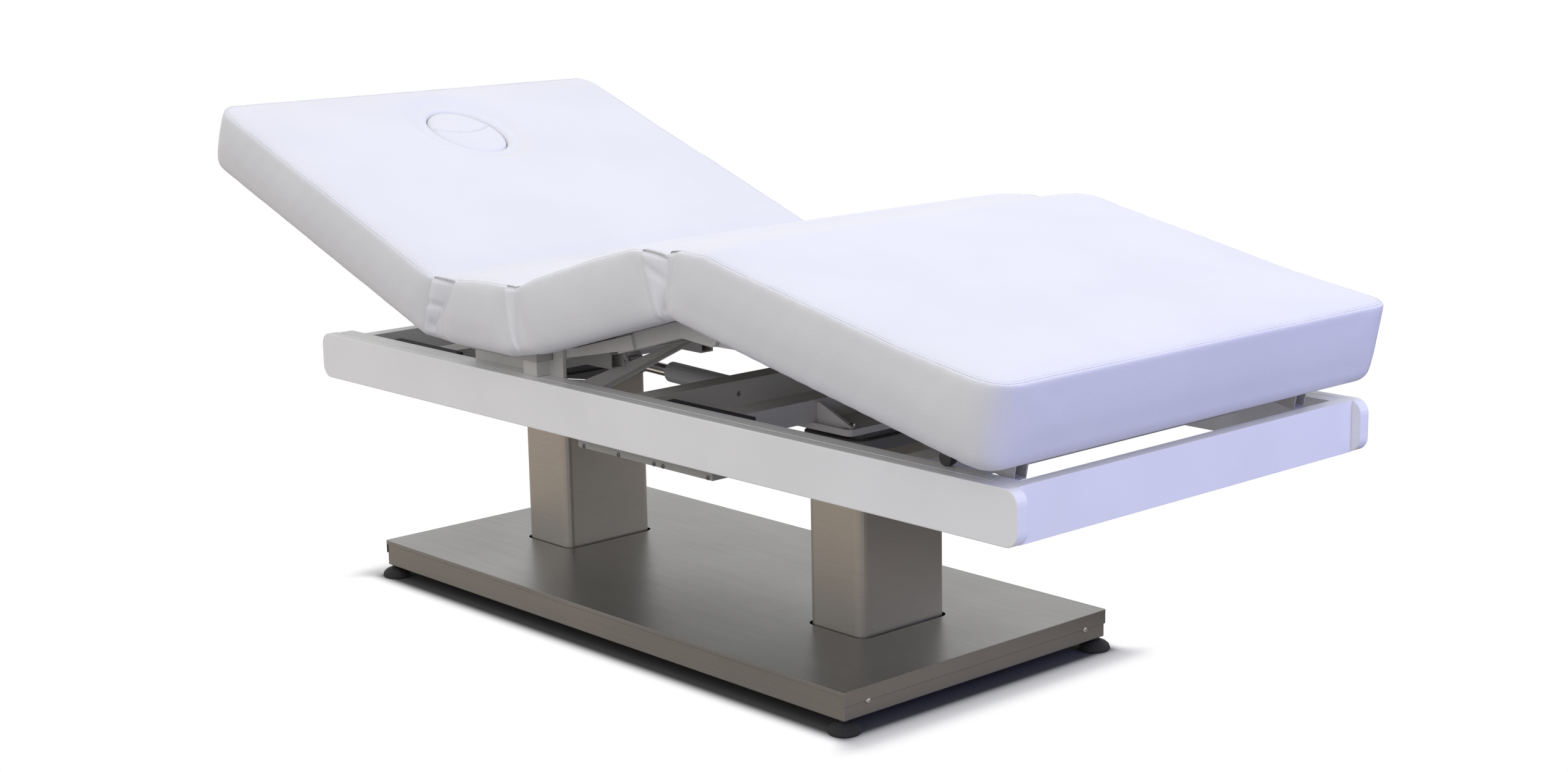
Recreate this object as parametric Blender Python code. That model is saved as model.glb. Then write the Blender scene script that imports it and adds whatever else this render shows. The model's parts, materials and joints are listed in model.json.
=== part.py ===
"""Treatment table with four hinged upholstered sections on two lifting columns.

X runs from the head end (minus) to the foot end (plus), Y across the table and Z up. The
origin is on the floor under the middle of the table. Lengths are in metres and angles in
degrees. Each moving section is drawn as if it lay flat, in the frame of its own hinge axis,
and is then turned with its pivot empty to the pose of the photograph.
"""

import math

import bmesh
import bpy
from mathutils import Vector

# General fits
GAP = 0.0003
RUNNING_GAP = 0.0004
SIDE_GAP = 0.0005
CUT_OVER = 0.010
WELD_LAP = 0.003
LEAST_CORNER = 0.002
MERGE_DISTANCE = 0.000001
CORNER_STEPS = 4
ROUND_STEPS = 20

# Base
BASE_X = -0.0539
BASE_LENGTH = 1.148
BASE_WIDTH = 0.556
LID_TOP = 0.064
LID_SHEET = 0.002
LID_SIDE_LIP = 0.007
LID_END_LIP = 0.022
LID_EDGE_RADIUS = 0.0025
SKIRT_SHEET = 0.0015
SKIRT_BOTTOM = 0.0216
PLATE_BOTTOM = 0.024
PLATE_THICKNESS = 0.006
SLOT_MARGIN_X = 0.006
SLOT_MARGIN_Y = 0.003

# Levelling feet
FOOT_INSET = 0.0125
PAD_RADIUS = 0.0245
PAD_HEIGHT = 0.0175
PAD_RIM = 0.004
STEM_RADIUS = 0.006
STEM_BOTTOM = 0.008
STEM_TOP = 0.046
NUT_RADIUS = 0.008
NUT_HEIGHT = 0.006

# Lifting columns
COLUMN_SPACING = 0.715
COLUMN_LENGTH = 0.115
COLUMN_WIDTH = 0.180
COLUMN_WALL = 0.004
COLUMN_RADIUS = 0.014
COLUMN_TOP = 0.346
STAGE_STEP = 0.006
STAGE_CORNER_STEP = 0.003
FLANGE_MARGIN = 0.014
FLANGE_CORNER = 0.008
FLANGE_THICKNESS = 0.006
STAGE_FLOOR_GAP = 0.014
LOWER_COLLAR_MARGIN = 0.009
LOWER_COLLAR_HEIGHT = 0.018
UPPER_COLLAR_MARGIN = 0.004
UPPER_COLLAR_HEIGHT = 0.012
COLLAR_LIP = 0.002

# Upper frame
RAIL_TOP = 0.4377
RAIL_HEIGHT = 0.0744
RAIL_THICKNESS = 0.020
RAIL_LENGTH = 1.5766
RAIL_HALF_WIDTH = 0.3654
RAIL_CORNER = 0.020
RAIL_EDGE = 0.0015
INNER_RAIL_THICKNESS = 0.0246
INNER_RAIL_SETBACK = 0.0233
FOOT_RAIL_SETBACK = 0.0149
FOOT_RAIL_THICKNESS = 0.020
HEAD_RAIL_SETBACK = 0.0393
HEAD_RAIL_THICKNESS = 0.025
HEAD_RAIL_CLEARANCE = 0.0217
TOP_PLATE_LENGTH = 0.160
TOP_PLATE_WIDTH = 0.260
TOP_PLATE_THICKNESS = 0.010
TOP_PLATE_CORNER = 0.010
GUSSET_THICKNESS = 0.006
GUSSET_HEIGHT = 0.030
GUSSET_OFFSET = 0.120
GUSSET_ROOT = 0.002
GUSSET_SETBACK = 0.004
GUSSET_NOSE = 0.003
GUSSET_HEAD = 0.008
COLUMN_BEAM_WIDTH = 0.050
COLUMN_BEAM_SHIFT = 0.0225
COLUMN_BEAM_HEIGHT = 0.0332
BEAM_HEIGHT = 0.040
BRACKET_LENGTH = 0.179
BRACKET_SHIFT = 0.044
BRACKET_FLANGE = 0.041
BRACKET_SHEET = 0.005
ACTUATOR_BEAM_X = 0.200
ACTUATOR_BEAM_WIDTH = 0.040
ACTUATOR_BEAM_HOLE_Y = 0.150
LEG_BEAM_X = 0.7585
LEG_BEAM_WIDTH = 0.041
LEG_BEAM_HOLE_Y = 0.276
BEAM_HOLE_RADIUS = 0.0045
BEAM_DROP = 0.0009
CLEVIS_ROOT_LOW = 0.002
CLEVIS_ROOT_DROP = 0.004
HEAD_CLEVIS_HEIGHT = 0.040

# Control box under the near rail
BOX_START = 0.086
BOX_LENGTH = 0.306
BOX_HEIGHT = 0.037
BOX_DROP = 0.015
BOX_SETBACK = 0.0134
BOX_DEPTH = 0.100

# Hinges
PIN_RADIUS = 0.005
KNUCKLE_RADIUS = 0.012
HINGE_PLATE = 0.006
KNUCKLE_ROOT = 0.010
PIN_ROOT = 0.002
LUG_PLATE = 0.005
LUG_ROOT = 0.001
LUG_STRAP = 0.045
STRAP_DEPTH = 0.012
UPRIGHT_RISE = 0.040
HINGE_CLEARANCE = 0.002
SIDE_PLATE_DROP = 0.043

# Sections, lying flat: sizes from each hinge axis
CUSHION_WIDTH = 0.800
BOARD_WIDTH = 0.700
BOARD_THICKNESS = 0.012
BOARD_SETBACK = 0.020
BOARD_RECESS = 0.003
TUBE_SIZE = 0.025
TUBE_WALL = 0.0025
CUSHION_TOP_RADIUS = 0.010
CUSHION_BOTTOM_RADIUS = 0.020
CUSHION_END_RADIUS = 0.004
CUSHION_CORNER_RADIUS = 0.032
CUSHION_END_SHARE = 0.3
CUSHION_WAIST_SHARE = 0.45

SEAT_LENGTH = 0.205
SEAT_HINGE_Z = 0.534
SEAT_TOP_RISE = 0.0465
SEAT_THICKNESS = 0.107
SEAT_LEAN = 0.037
SEAT_TUBE_Y = 0.215
SEAT_INNER_TUBE_Y = 0.034
SEAT_TUBE_SETBACK = 0.010
SEAT_TUBE_OVERHANG = 0.010
SEAT_POST_LENGTH = 0.034
SEAT_POST_X = -0.038

BACK_ANGLE = 19.61
BACK_LENGTH = 0.693
BACK_TOP_RISE = 0.0425
BACK_THICKNESS = 0.110
BACK_TUBE_END = 0.520
BACK_LEVER_BAR = 0.045
FACE_HOLE_DISTANCE = 0.517
FACE_HOLE_LENGTH = 0.200
FACE_HOLE_WIDTH = 0.156
FACE_HOLE_STEP = 0.018
PLUG_HEIGHT = 0.060
PLUG_GAP = 0.001
PLUG_CHAMFER_HEIGHT = 0.006
PLUG_CHAMFER_INSET = 0.004
PLUG_CROWN = ((0.012, 0.0), (0.005, 0.003), (0.002, 0.012), (0.0, 0.030))

THIGH_HINGE_Z = 0.539
THIGH_ANGLE = 16.02
THIGH_LENGTH = 0.3364
THIGH_TOP_RISE = 0.045
THIGH_THICKNESS = 0.108
THIGH_TUBE_START = 0.114
THIGH_LEVER_BAR = 0.130
KNEE_DROP = 0.0966

LEG_ANGLE = 11.53
LEG_LENGTH = 0.616
LEG_CUSHION_WIDTH = 0.812
LEG_CORNER_RADIUS = 0.038
LEG_BOARD_SETBACK = 0.050
LEG_TOP_RISE = 0.149
LEG_THICKNESS = 0.109
LEG_TUBE_LENGTH = 0.572
LEG_CROSS_BAR = 0.330
GLIDE_DISTANCE = 0.483
GLIDE_RADIUS = 0.0105
GLIDE_WIDTH = 0.013
GLIDE_SETBACK = 0.001
GLIDE_PIN_RISE = 0.003
KNEE_CUSHION_GAP = 0.003

# Electric actuators, one for the back and one for the thigh and leg
LEVER_PLATE = 0.005
LEVER_SLOT = 0.024
LEVER_ROOT_SETBACK = 0.002
LEVER_ROOT_RISE = 0.004
PIN_HEAD_MARGIN = 0.002
PIN_HEAD_HEIGHT = 0.003
PIN_HEAD_ROOT = 0.001
EYE_WIDTH = 0.020
EYE_RADIUS = 0.012
ROD_RADIUS = 0.010
ROD_ROOT = 0.002
HOUSING_RADIUS = 0.017
HOUSING_BLOCK = 0.044
HOUSING_BLOCK_LENGTH = 0.060
HOUSING_BLOCK_MARGIN = 0.004
HOUSING_CORNER = 0.006
HOUSING_ROOT = 0.002
HOUSING_LAP = 0.004
MOTOR_RADIUS = 0.019
MOTOR_LENGTH = 0.110
MOTOR_SETBACK = 0.006
MOTOR_OFFSET = 0.042
BORE_SPARE = 0.008

BACK_ACTUATOR_Y = 0.0
BACK_ACTUATOR_REAR = (0.150, 0.374)
BACK_LEVER_PIN = (0.030, -0.148)
BACK_HOUSING_LENGTH = 0.270
BACK_ROD_STROKE = (0.052, 0.116)

KNEE_ACTUATOR_Y = -0.170
KNEE_REAR_REACH = 0.0277
KNEE_REAR_HEIGHT = 0.345
THIGH_LEVER_PIN = (-0.1482, -0.1177)
KNEE_HOUSING_LENGTH = 0.220
KNEE_ROD_STROKE = (0.040, 0.036)

# Places worked out from the sizes above
COLUMN_X = COLUMN_SPACING / 2
RAIL_BOTTOM = RAIL_TOP - RAIL_HEIGHT
RAIL_INNER_Y = RAIL_HALF_WIDTH - RAIL_THICKNESS
INNER_RAIL_Y = RAIL_INNER_Y - GAP - INNER_RAIL_THICKNESS
HINGE_PLATE_Y = INNER_RAIL_Y - GAP
LUG_Y = HINGE_PLATE_Y - HINGE_PLATE - SIDE_GAP
LEG_LUG_Y = LUG_Y - LUG_PLATE - LUG_ROOT - SIDE_GAP
PLATE_TOP = PLATE_BOTTOM + PLATE_THICKNESS
COLLAR_TOP = COLUMN_TOP + GAP + LOWER_COLLAR_HEIGHT
MIDDLE_TOP = COLLAR_TOP + COLLAR_LIP
UPPER_COLLAR_TOP = MIDDLE_TOP + GAP + UPPER_COLLAR_HEIGHT
TOP_PLATE_BOTTOM = UPPER_COLLAR_TOP + COLLAR_LIP
TOP_PLATE_TOP = TOP_PLATE_BOTTOM + TOP_PLATE_THICKNESS
BEAM_BOTTOM = TOP_PLATE_TOP + GAP
BEAM_TOP = BEAM_BOTTOM + COLUMN_BEAM_HEIGHT
HEAD_RAIL_FACE = COLUMN_X + BRACKET_SHIFT + BRACKET_LENGTH / 2 + HEAD_RAIL_CLEARANCE
RAIL_HEAD_REACH = HEAD_RAIL_FACE + HEAD_RAIL_THICKNESS + HEAD_RAIL_SETBACK + INNER_RAIL_SETBACK
RAIL_FOOT_X = RAIL_LENGTH - RAIL_HEAD_REACH
KNEE_ACTUATOR_REAR = (KNEE_REAR_REACH - HEAD_RAIL_FACE, KNEE_REAR_HEIGHT)
SEAT_BOARD_TOP = SEAT_HINGE_Z + SEAT_TOP_RISE - SEAT_THICKNESS
SEAT_BOARD_BOTTOM = SEAT_BOARD_TOP - BOARD_THICKNESS - GAP
KNUCKLE_REACH = KNUCKLE_RADIUS + HINGE_CLEARANCE


def clear_scene():
    """Remove every object of the open scene."""
    for item in list(bpy.data.objects):
        bpy.data.objects.remove(item, do_unlink=True)


def material(name, color, roughness, metallic=0.0):
    """Return the Principled material of that name, made once."""
    made = bpy.data.materials.get(name)
    if made is None:
        made = bpy.data.materials.new(name)
        made.use_nodes = True
        shader = made.node_tree.nodes["Principled BSDF"]
        shader.inputs["Base Color"].default_value = (*color, 1.0)
        shader.inputs["Roughness"].default_value = roughness
        shader.inputs["Metallic"].default_value = metallic
    return made


def upholstery():
    return material("white_leather", (0.86, 0.86, 0.90), 0.42)


def rail_paint():
    return material("silver_paint", (0.60, 0.60, 0.61), 0.40, 0.2)


def frame_paint():
    return material("grey_paint", (0.46, 0.46, 0.48), 0.5, 0.1)


def column_finish():
    return material("satin_silver", (0.50, 0.48, 0.46), 0.45, 0.6)


def base_finish():
    return material("brushed_steel", (0.45, 0.44, 0.43), 0.40, 0.8)


def dark_steel():
    return material("dark_steel", (0.06, 0.06, 0.07), 0.5, 0.4)


def grey_plastic():
    return material("grey_plastic", (0.16, 0.16, 0.16), 0.55)


def black_rubber():
    return material("black_rubber", (0.02, 0.02, 0.02), 0.7)


def plywood():
    return material("dark_board", (0.10, 0.09, 0.08), 0.7)


def chrome():
    return material("chrome", (0.75, 0.75, 0.76), 0.12, 1.0)


def finish_mesh(name, bm, finish, pivot=None):
    """Turn a bmesh into a named object with its material, under a pivot empty if given."""
    bmesh.ops.remove_doubles(bm, verts=bm.verts, dist=MERGE_DISTANCE)
    bmesh.ops.recalc_face_normals(bm, faces=bm.faces)
    mesh = bpy.data.meshes.new(name)
    bm.to_mesh(mesh)
    bm.free()
    mesh.materials.append(finish)
    mesh.shade_smooth()
    mesh.set_sharp_from_angle(angle=math.radians(32))
    made = bpy.data.objects.new(name, mesh)
    bpy.context.scene.collection.objects.link(made)
    if pivot is not None:
        made.parent = pivot
    return made


def pivot_empty(name, location, turn, parent=None):
    """Place an empty on a hinge axis that runs along Y, turned by an angle in degrees."""
    empty = bpy.data.objects.new(name, None)
    empty.location = location
    empty.rotation_euler = (0.0, math.radians(turn), 0.0)
    empty.parent = parent
    bpy.context.scene.collection.objects.link(empty)
    return empty


def rounded_outline(length, width, radius, steps=CORNER_STEPS):
    """Corner points of a rounded rectangle about the origin, anticlockwise."""
    points = []
    for corner, (sign_x, sign_y) in enumerate([(1, 1), (-1, 1), (-1, -1), (1, -1)]):
        centre_x = sign_x * (length / 2 - radius)
        centre_y = sign_y * (width / 2 - radius)
        for step in range(steps + 1):
            angle = math.radians(90 * corner + 90 * step / steps)
            points.append((centre_x + radius * math.cos(angle), centre_y + radius * math.sin(angle)))
    return points


def circle_outline(radius, steps=ROUND_STEPS, centre=(0.0, 0.0)):
    """Points of a circle, anticlockwise."""
    turn = 2 * math.pi / steps
    return [(centre[0] + radius * math.cos(turn * step), centre[1] + radius * math.sin(turn * step))
            for step in range(steps)]


def hull_outline(points):
    """The convex outline round a set of points, anticlockwise."""
    ordered = sorted(set(points))

    def chain(run):
        kept = []
        for point in run:
            while len(kept) > 1:
                ax, ay = kept[-1][0] - kept[-2][0], kept[-1][1] - kept[-2][1]
                bx, by = point[0] - kept[-2][0], point[1] - kept[-2][1]
                if ax * by - ay * bx > 1e-12:
                    break
                kept.pop()
            kept.append(point)
        return kept[:-1]

    return chain(ordered) + chain(ordered[::-1])


def rings_solid(bm, rings):
    """Bridge a stack of rings with equal point counts and cap both ends."""
    made = [[bm.verts.new(point) for point in ring] for ring in rings]
    count = len(made[0])
    for lower, upper in zip(made, made[1:]):
        for index in range(count):
            after = (index + 1) % count
            bm.faces.new((lower[index], lower[after], upper[after], upper[index]))
    bm.faces.new(made[0][::-1])
    bm.faces.new(made[-1])


def prism(bm, outline, start, end, axis="Z"):
    """Extrude an outline from start to end along an axis.

    The outline's two values are X and Y for axis Z, X and Z for axis Y, Y and Z for axis X.
    """
    def place(point, level):
        if axis == "Z":
            return Vector((point[0], point[1], level))
        if axis == "Y":
            return Vector((point[0], level, point[1]))
        return Vector((level, point[0], point[1]))

    rings_solid(bm, [[place(point, level) for point in outline] for level in (start, end)])


def box(bm, low, high):
    """A plain block between two corners."""
    outline = [(low[0], low[1]), (high[0], low[1]), (high[0], high[1]), (low[0], high[1])]
    prism(bm, outline, low[2], high[2])


def turned(bm, profile, centre=(0.0, 0.0), steps=ROUND_STEPS):
    """A solid of revolution about Z from (radius, height) points, bottom to top."""
    rings = []
    for radius, height in profile:
        ring = circle_outline(radius, steps, centre)
        rings.append([Vector((x, y, height)) for x, y in ring])
    rings_solid(bm, rings)


def scratch(build):
    """Make a hidden working object from a function that fills a bmesh."""
    bm = bmesh.new()
    build(bm)
    bmesh.ops.recalc_face_normals(bm, faces=bm.faces)
    mesh = bpy.data.meshes.new("working")
    bm.to_mesh(mesh)
    bm.free()
    made = bpy.data.objects.new("working", mesh)
    bpy.context.scene.collection.objects.link(made)
    return made


def combine(target, builds, operation):
    """Join or cut working solids into a target in the target's own frame."""
    for build in builds:
        tool = scratch(build)
        tool.parent = target.parent
        modifier = target.modifiers.new("combine", "BOOLEAN")
        modifier.operation = operation
        modifier.solver = "EXACT"
        modifier.object = tool
        bpy.context.view_layer.update()
        shaped = bpy.data.meshes.new_from_object(
            target.evaluated_get(bpy.context.evaluated_depsgraph_get()))
        target.modifiers.remove(modifier)
        old = target.data
        target.data = shaped
        shaped.name = target.name
        bpy.data.meshes.remove(old)
        used = tool.data
        bpy.data.objects.remove(tool, do_unlink=True)
        bpy.data.meshes.remove(used)
    return target


def join(target, *builds):
    return combine(target, builds, "UNION")


def cut(target, *builds):
    return combine(target, builds, "DIFFERENCE")


def solid(name, finish, build, pivot=None):
    """Make one named part from a function that fills a bmesh."""
    bm = bmesh.new()
    build(bm)
    return finish_mesh(name, bm, finish, pivot)


def beside(side, near, far):
    """Lower and upper Y of a slab between two distances from the middle, on one side."""
    return (min(side * near, side * far), max(side * near, side * far))


def side_name(side):
    return "near" if side < 0 else "far"


def square_tube(bm, start, end, low, high, axis="X"):
    """A tube of square section open at both ends, with its wall thickness from the table."""
    def ring(level, inset):
        lo_a, lo_b = low[0] + inset, low[1] + inset
        hi_a, hi_b = high[0] - inset, high[1] - inset
        corners = [(lo_a, lo_b), (hi_a, lo_b), (hi_a, hi_b), (lo_a, hi_b)]
        if axis == "X":
            return [Vector((level, a, b)) for a, b in corners]
        return [Vector((a, level, b)) for a, b in corners]

    loops = [ring(start, 0), ring(end, 0), ring(end, TUBE_WALL), ring(start, TUBE_WALL)]
    made = [[bm.verts.new(point) for point in loop] for loop in loops]
    for index in range(4):
        for loop in range(4):
            following = made[(loop + 1) % 4]
            after = (index + 1) % 4
            bm.faces.new((made[loop][index], made[loop][after], following[after], following[index]))


def hollow_column(bm, centre_x, length, width, radius, wall, bottom, top):
    """A rounded rectangular tube standing on end, open at both ends."""
    def ring(inset, level):
        outline = rounded_outline(length - 2 * inset, width - 2 * inset, max(radius - inset, LEAST_CORNER))
        return [Vector((centre_x + x, y, level)) for x, y in outline]

    loops = [ring(0, bottom), ring(0, top), ring(wall, top), ring(wall, bottom)]
    made = [[bm.verts.new(point) for point in loop] for loop in loops]
    count = len(made[0])
    for loop in range(4):
        following = made[(loop + 1) % 4]
        for index in range(count):
            after = (index + 1) % count
            bm.faces.new((made[loop][index], made[loop][after], following[after], following[index]))


def build_base():
    """Steel plate, sheet skirt and the lid that folds over it."""
    inner_length = BASE_LENGTH - 2 * (SKIRT_SHEET + GAP)
    inner_width = BASE_WIDTH - 2 * (SKIRT_SHEET + GAP)
    plate_length = inner_length - 2 * (SKIRT_SHEET + GAP)
    plate_width = inner_width - 2 * (SKIRT_SHEET + GAP)

    outline = rounded_outline(plate_length, plate_width, LID_EDGE_RADIUS, 2)
    plate = solid("base_plate", dark_steel(), lambda bm: prism(
        bm, [(BASE_X + x, y) for x, y in outline], PLATE_BOTTOM, PLATE_TOP))
    for foot_x, foot_y in foot_places().values():
        cut(plate, lambda bm, x=foot_x, y=foot_y: prism(
            bm, circle_outline(STEM_RADIUS + GAP, centre=(x, y)), 0.0, LID_TOP))

    skirt_top = LID_TOP - LID_SHEET - GAP
    solid("base_skirt", base_finish(), lambda bm: hollow_column(
        bm, BASE_X, inner_length, inner_width, LID_EDGE_RADIUS, SKIRT_SHEET, SKIRT_BOTTOM, skirt_top))

    def block(bm):
        outline = rounded_outline(BASE_LENGTH, BASE_WIDTH, LID_EDGE_RADIUS, 2)
        prism(bm, [(BASE_X + x, y) for x, y in outline], LID_TOP - LID_END_LIP, LID_TOP)

    def hollow(bm):
        box(bm, (BASE_X - inner_length / 2 - GAP, -inner_width / 2 - GAP, 0.0),
            (BASE_X + inner_length / 2 + GAP, inner_width / 2 + GAP, LID_TOP - LID_SHEET))

    def side_clearance(bm):
        box(bm, (BASE_X - inner_length / 2, -BASE_WIDTH, 0.0),
            (BASE_X + inner_length / 2, BASE_WIDTH, LID_TOP - LID_SIDE_LIP))

    lid = solid("base_lid", base_finish(), block)
    cut(lid, hollow, side_clearance)
    for sign in (-1, 1):
        slot = rounded_outline(COLUMN_LENGTH + 2 * SLOT_MARGIN_X, COLUMN_WIDTH + 2 * SLOT_MARGIN_Y,
                               COLUMN_RADIUS + SLOT_MARGIN_Y)
        cut(lid, lambda bm, s=sign, o=slot: prism(
            bm, [(BASE_X + s * COLUMN_X + x, y) for x, y in o], 0.0, 2 * LID_TOP))


def foot_places():
    """Name and place of the four levelling feet."""
    reach_x = BASE_LENGTH / 2 - FOOT_INSET
    reach_y = BASE_WIDTH / 2 - FOOT_INSET
    return {
        f"{end}_{side_name(side)}": (BASE_X + sign * reach_x, side * reach_y)
        for sign, end in ((-1, "head"), (1, "foot")) for side in (-1, 1)
    }


def build_feet():
    """Domed rubber pads on threaded stems with a lock nut under the base plate."""
    nut_top = PLATE_BOTTOM - GAP
    for place, (x, y) in foot_places().items():
        dome = [(PAD_RADIUS * math.cos(math.radians(angle)),
                 PAD_RIM + (PAD_HEIGHT - PAD_RIM) * math.sin(math.radians(angle)))
                for angle in (0, 22, 42, 58, 70)]
        profile = [(PAD_RADIUS - PAD_RIM / 2, 0.0), (PAD_RADIUS, PAD_RIM / 2)] + dome
        foot = solid(f"levelling_foot_{place}", black_rubber(),
                     lambda bm, p=profile, c=(x, y): turned(bm, p, c))
        join(foot,
             lambda bm, c=(x, y): prism(bm, circle_outline(STEM_RADIUS, centre=c), STEM_BOTTOM, STEM_TOP),
             lambda bm, c=(x, y): prism(bm, circle_outline(NUT_RADIUS, 6, c), nut_top - NUT_HEIGHT, nut_top))


def stage_size(stage):
    """Length, width and corner radius of a column stage, 0 for the outer one."""
    inset = stage * STAGE_STEP
    return COLUMN_LENGTH - 2 * inset, COLUMN_WIDTH - 2 * inset, COLUMN_RADIUS - stage * STAGE_CORNER_STEP


def build_columns():
    """Two columns of three nested stages with a collar at the mouth of each outer stage."""
    for sign, end in ((-1, "head"), (1, "foot")):
        x = BASE_X + sign * COLUMN_X
        length, width, radius = stage_size(0)
        outer = solid(f"{end}_column_outer", column_finish(), lambda bm: hollow_column(
            bm, x, length, width, radius, COLUMN_WALL, PLATE_TOP + GAP, COLUMN_TOP))
        flange = rounded_outline(length + 2 * FLANGE_MARGIN, width + 2 * FLANGE_MARGIN, FLANGE_CORNER, 2)
        join(outer, lambda bm: prism(bm, [(x + a, b) for a, b in flange],
                                     PLATE_TOP + GAP, PLATE_TOP + GAP + FLANGE_THICKNESS))

        length, width, radius = stage_size(1)
        bottom = PLATE_TOP + FLANGE_THICKNESS + STAGE_FLOOR_GAP
        solid(f"{end}_column_middle", column_finish(), lambda bm: hollow_column(
            bm, x, length, width, radius, COLUMN_WALL, bottom, MIDDLE_TOP))
        collar(f"{end}_collar_lower", x, 1, LOWER_COLLAR_MARGIN, COLUMN_TOP + GAP, COLLAR_TOP)

        length, width, radius = stage_size(2)
        solid(f"{end}_column_inner", column_finish(), lambda bm: hollow_column(
            bm, x, length, width, radius, COLUMN_WALL, bottom + STAGE_FLOOR_GAP, TOP_PLATE_BOTTOM - GAP))
        collar(f"{end}_collar_upper", x, 2, UPPER_COLLAR_MARGIN, MIDDLE_TOP + GAP, UPPER_COLLAR_TOP)


def collar(name, x, stage, margin, bottom, top):
    """A plastic guide ring round a stage, standing proud of the stage outside it."""
    outside = stage_size(stage - 1)
    inside = stage_size(stage)
    length = outside[0] + 2 * margin
    width = outside[1] + 2 * margin
    wall = (length - inside[0]) / 2 - RUNNING_GAP
    return solid(name, grey_plastic(), lambda bm: hollow_column(
        bm, x, length, width, inside[2] + wall + RUNNING_GAP, wall, bottom, top))


def rail_outline():
    """Side view of an outer rail plate with its rounded ends."""
    points = rounded_outline(RAIL_LENGTH, RAIL_HEIGHT, RAIL_CORNER, 6)
    middle_x = BASE_X + (RAIL_FOOT_X - RAIL_HEAD_REACH) / 2
    return [(middle_x + a, RAIL_TOP - RAIL_HEIGHT / 2 + b) for a, b in points]


def build_rails():
    """Outer plates with the inner rails behind them, closed by a rail at each end."""
    head_x = BASE_X - RAIL_HEAD_REACH
    foot_x = BASE_X + RAIL_FOOT_X
    cross_front = foot_x - FOOT_RAIL_SETBACK
    cross_back = cross_front - FOOT_RAIL_THICKNESS
    for side in (-1, 1):
        low, high = beside(side, RAIL_INNER_Y, RAIL_HALF_WIDTH)
        rail = solid(f"side_rail_{side_name(side)}", rail_paint(),
                     lambda bm: prism(bm, rail_outline(), low, high, "Y"))
        edge = rail.modifiers.new("edge", "BEVEL")
        edge.width = RAIL_EDGE
        edge.segments = 2
        edge.limit_method = "ANGLE"
        edge.angle_limit = math.radians(60)
        low, high = beside(side, INNER_RAIL_Y, RAIL_INNER_Y - GAP)
        solid(f"inner_rail_{side_name(side)}", rail_paint(), lambda bm: box(
            bm, (head_x + INNER_RAIL_SETBACK, low, RAIL_BOTTOM), (cross_back - GAP, high, RAIL_TOP)))
    reach = RAIL_INNER_Y - GAP
    solid("foot_cross_rail", rail_paint(), lambda bm: box(
        bm, (cross_back, -reach, RAIL_BOTTOM), (cross_front, reach, RAIL_TOP)))
    reach = INNER_RAIL_Y - GAP
    start = head_x + INNER_RAIL_SETBACK + HEAD_RAIL_SETBACK
    face = start + HEAD_RAIL_THICKNESS
    rail = solid("head_cross_rail", rail_paint(), lambda bm: box(
        bm, (start, -reach, RAIL_BOTTOM), (face, reach, RAIL_TOP)))
    clevis(rail, KNEE_ACTUATOR_Y, (BASE_X + KNEE_ACTUATOR_REAR[0], KNEE_ACTUATOR_REAR[1]),
           [(face - WELD_LAP, RAIL_BOTTOM + CLEVIS_ROOT_LOW),
            (face - WELD_LAP, RAIL_BOTTOM + HEAD_CLEVIS_HEIGHT)])


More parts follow.
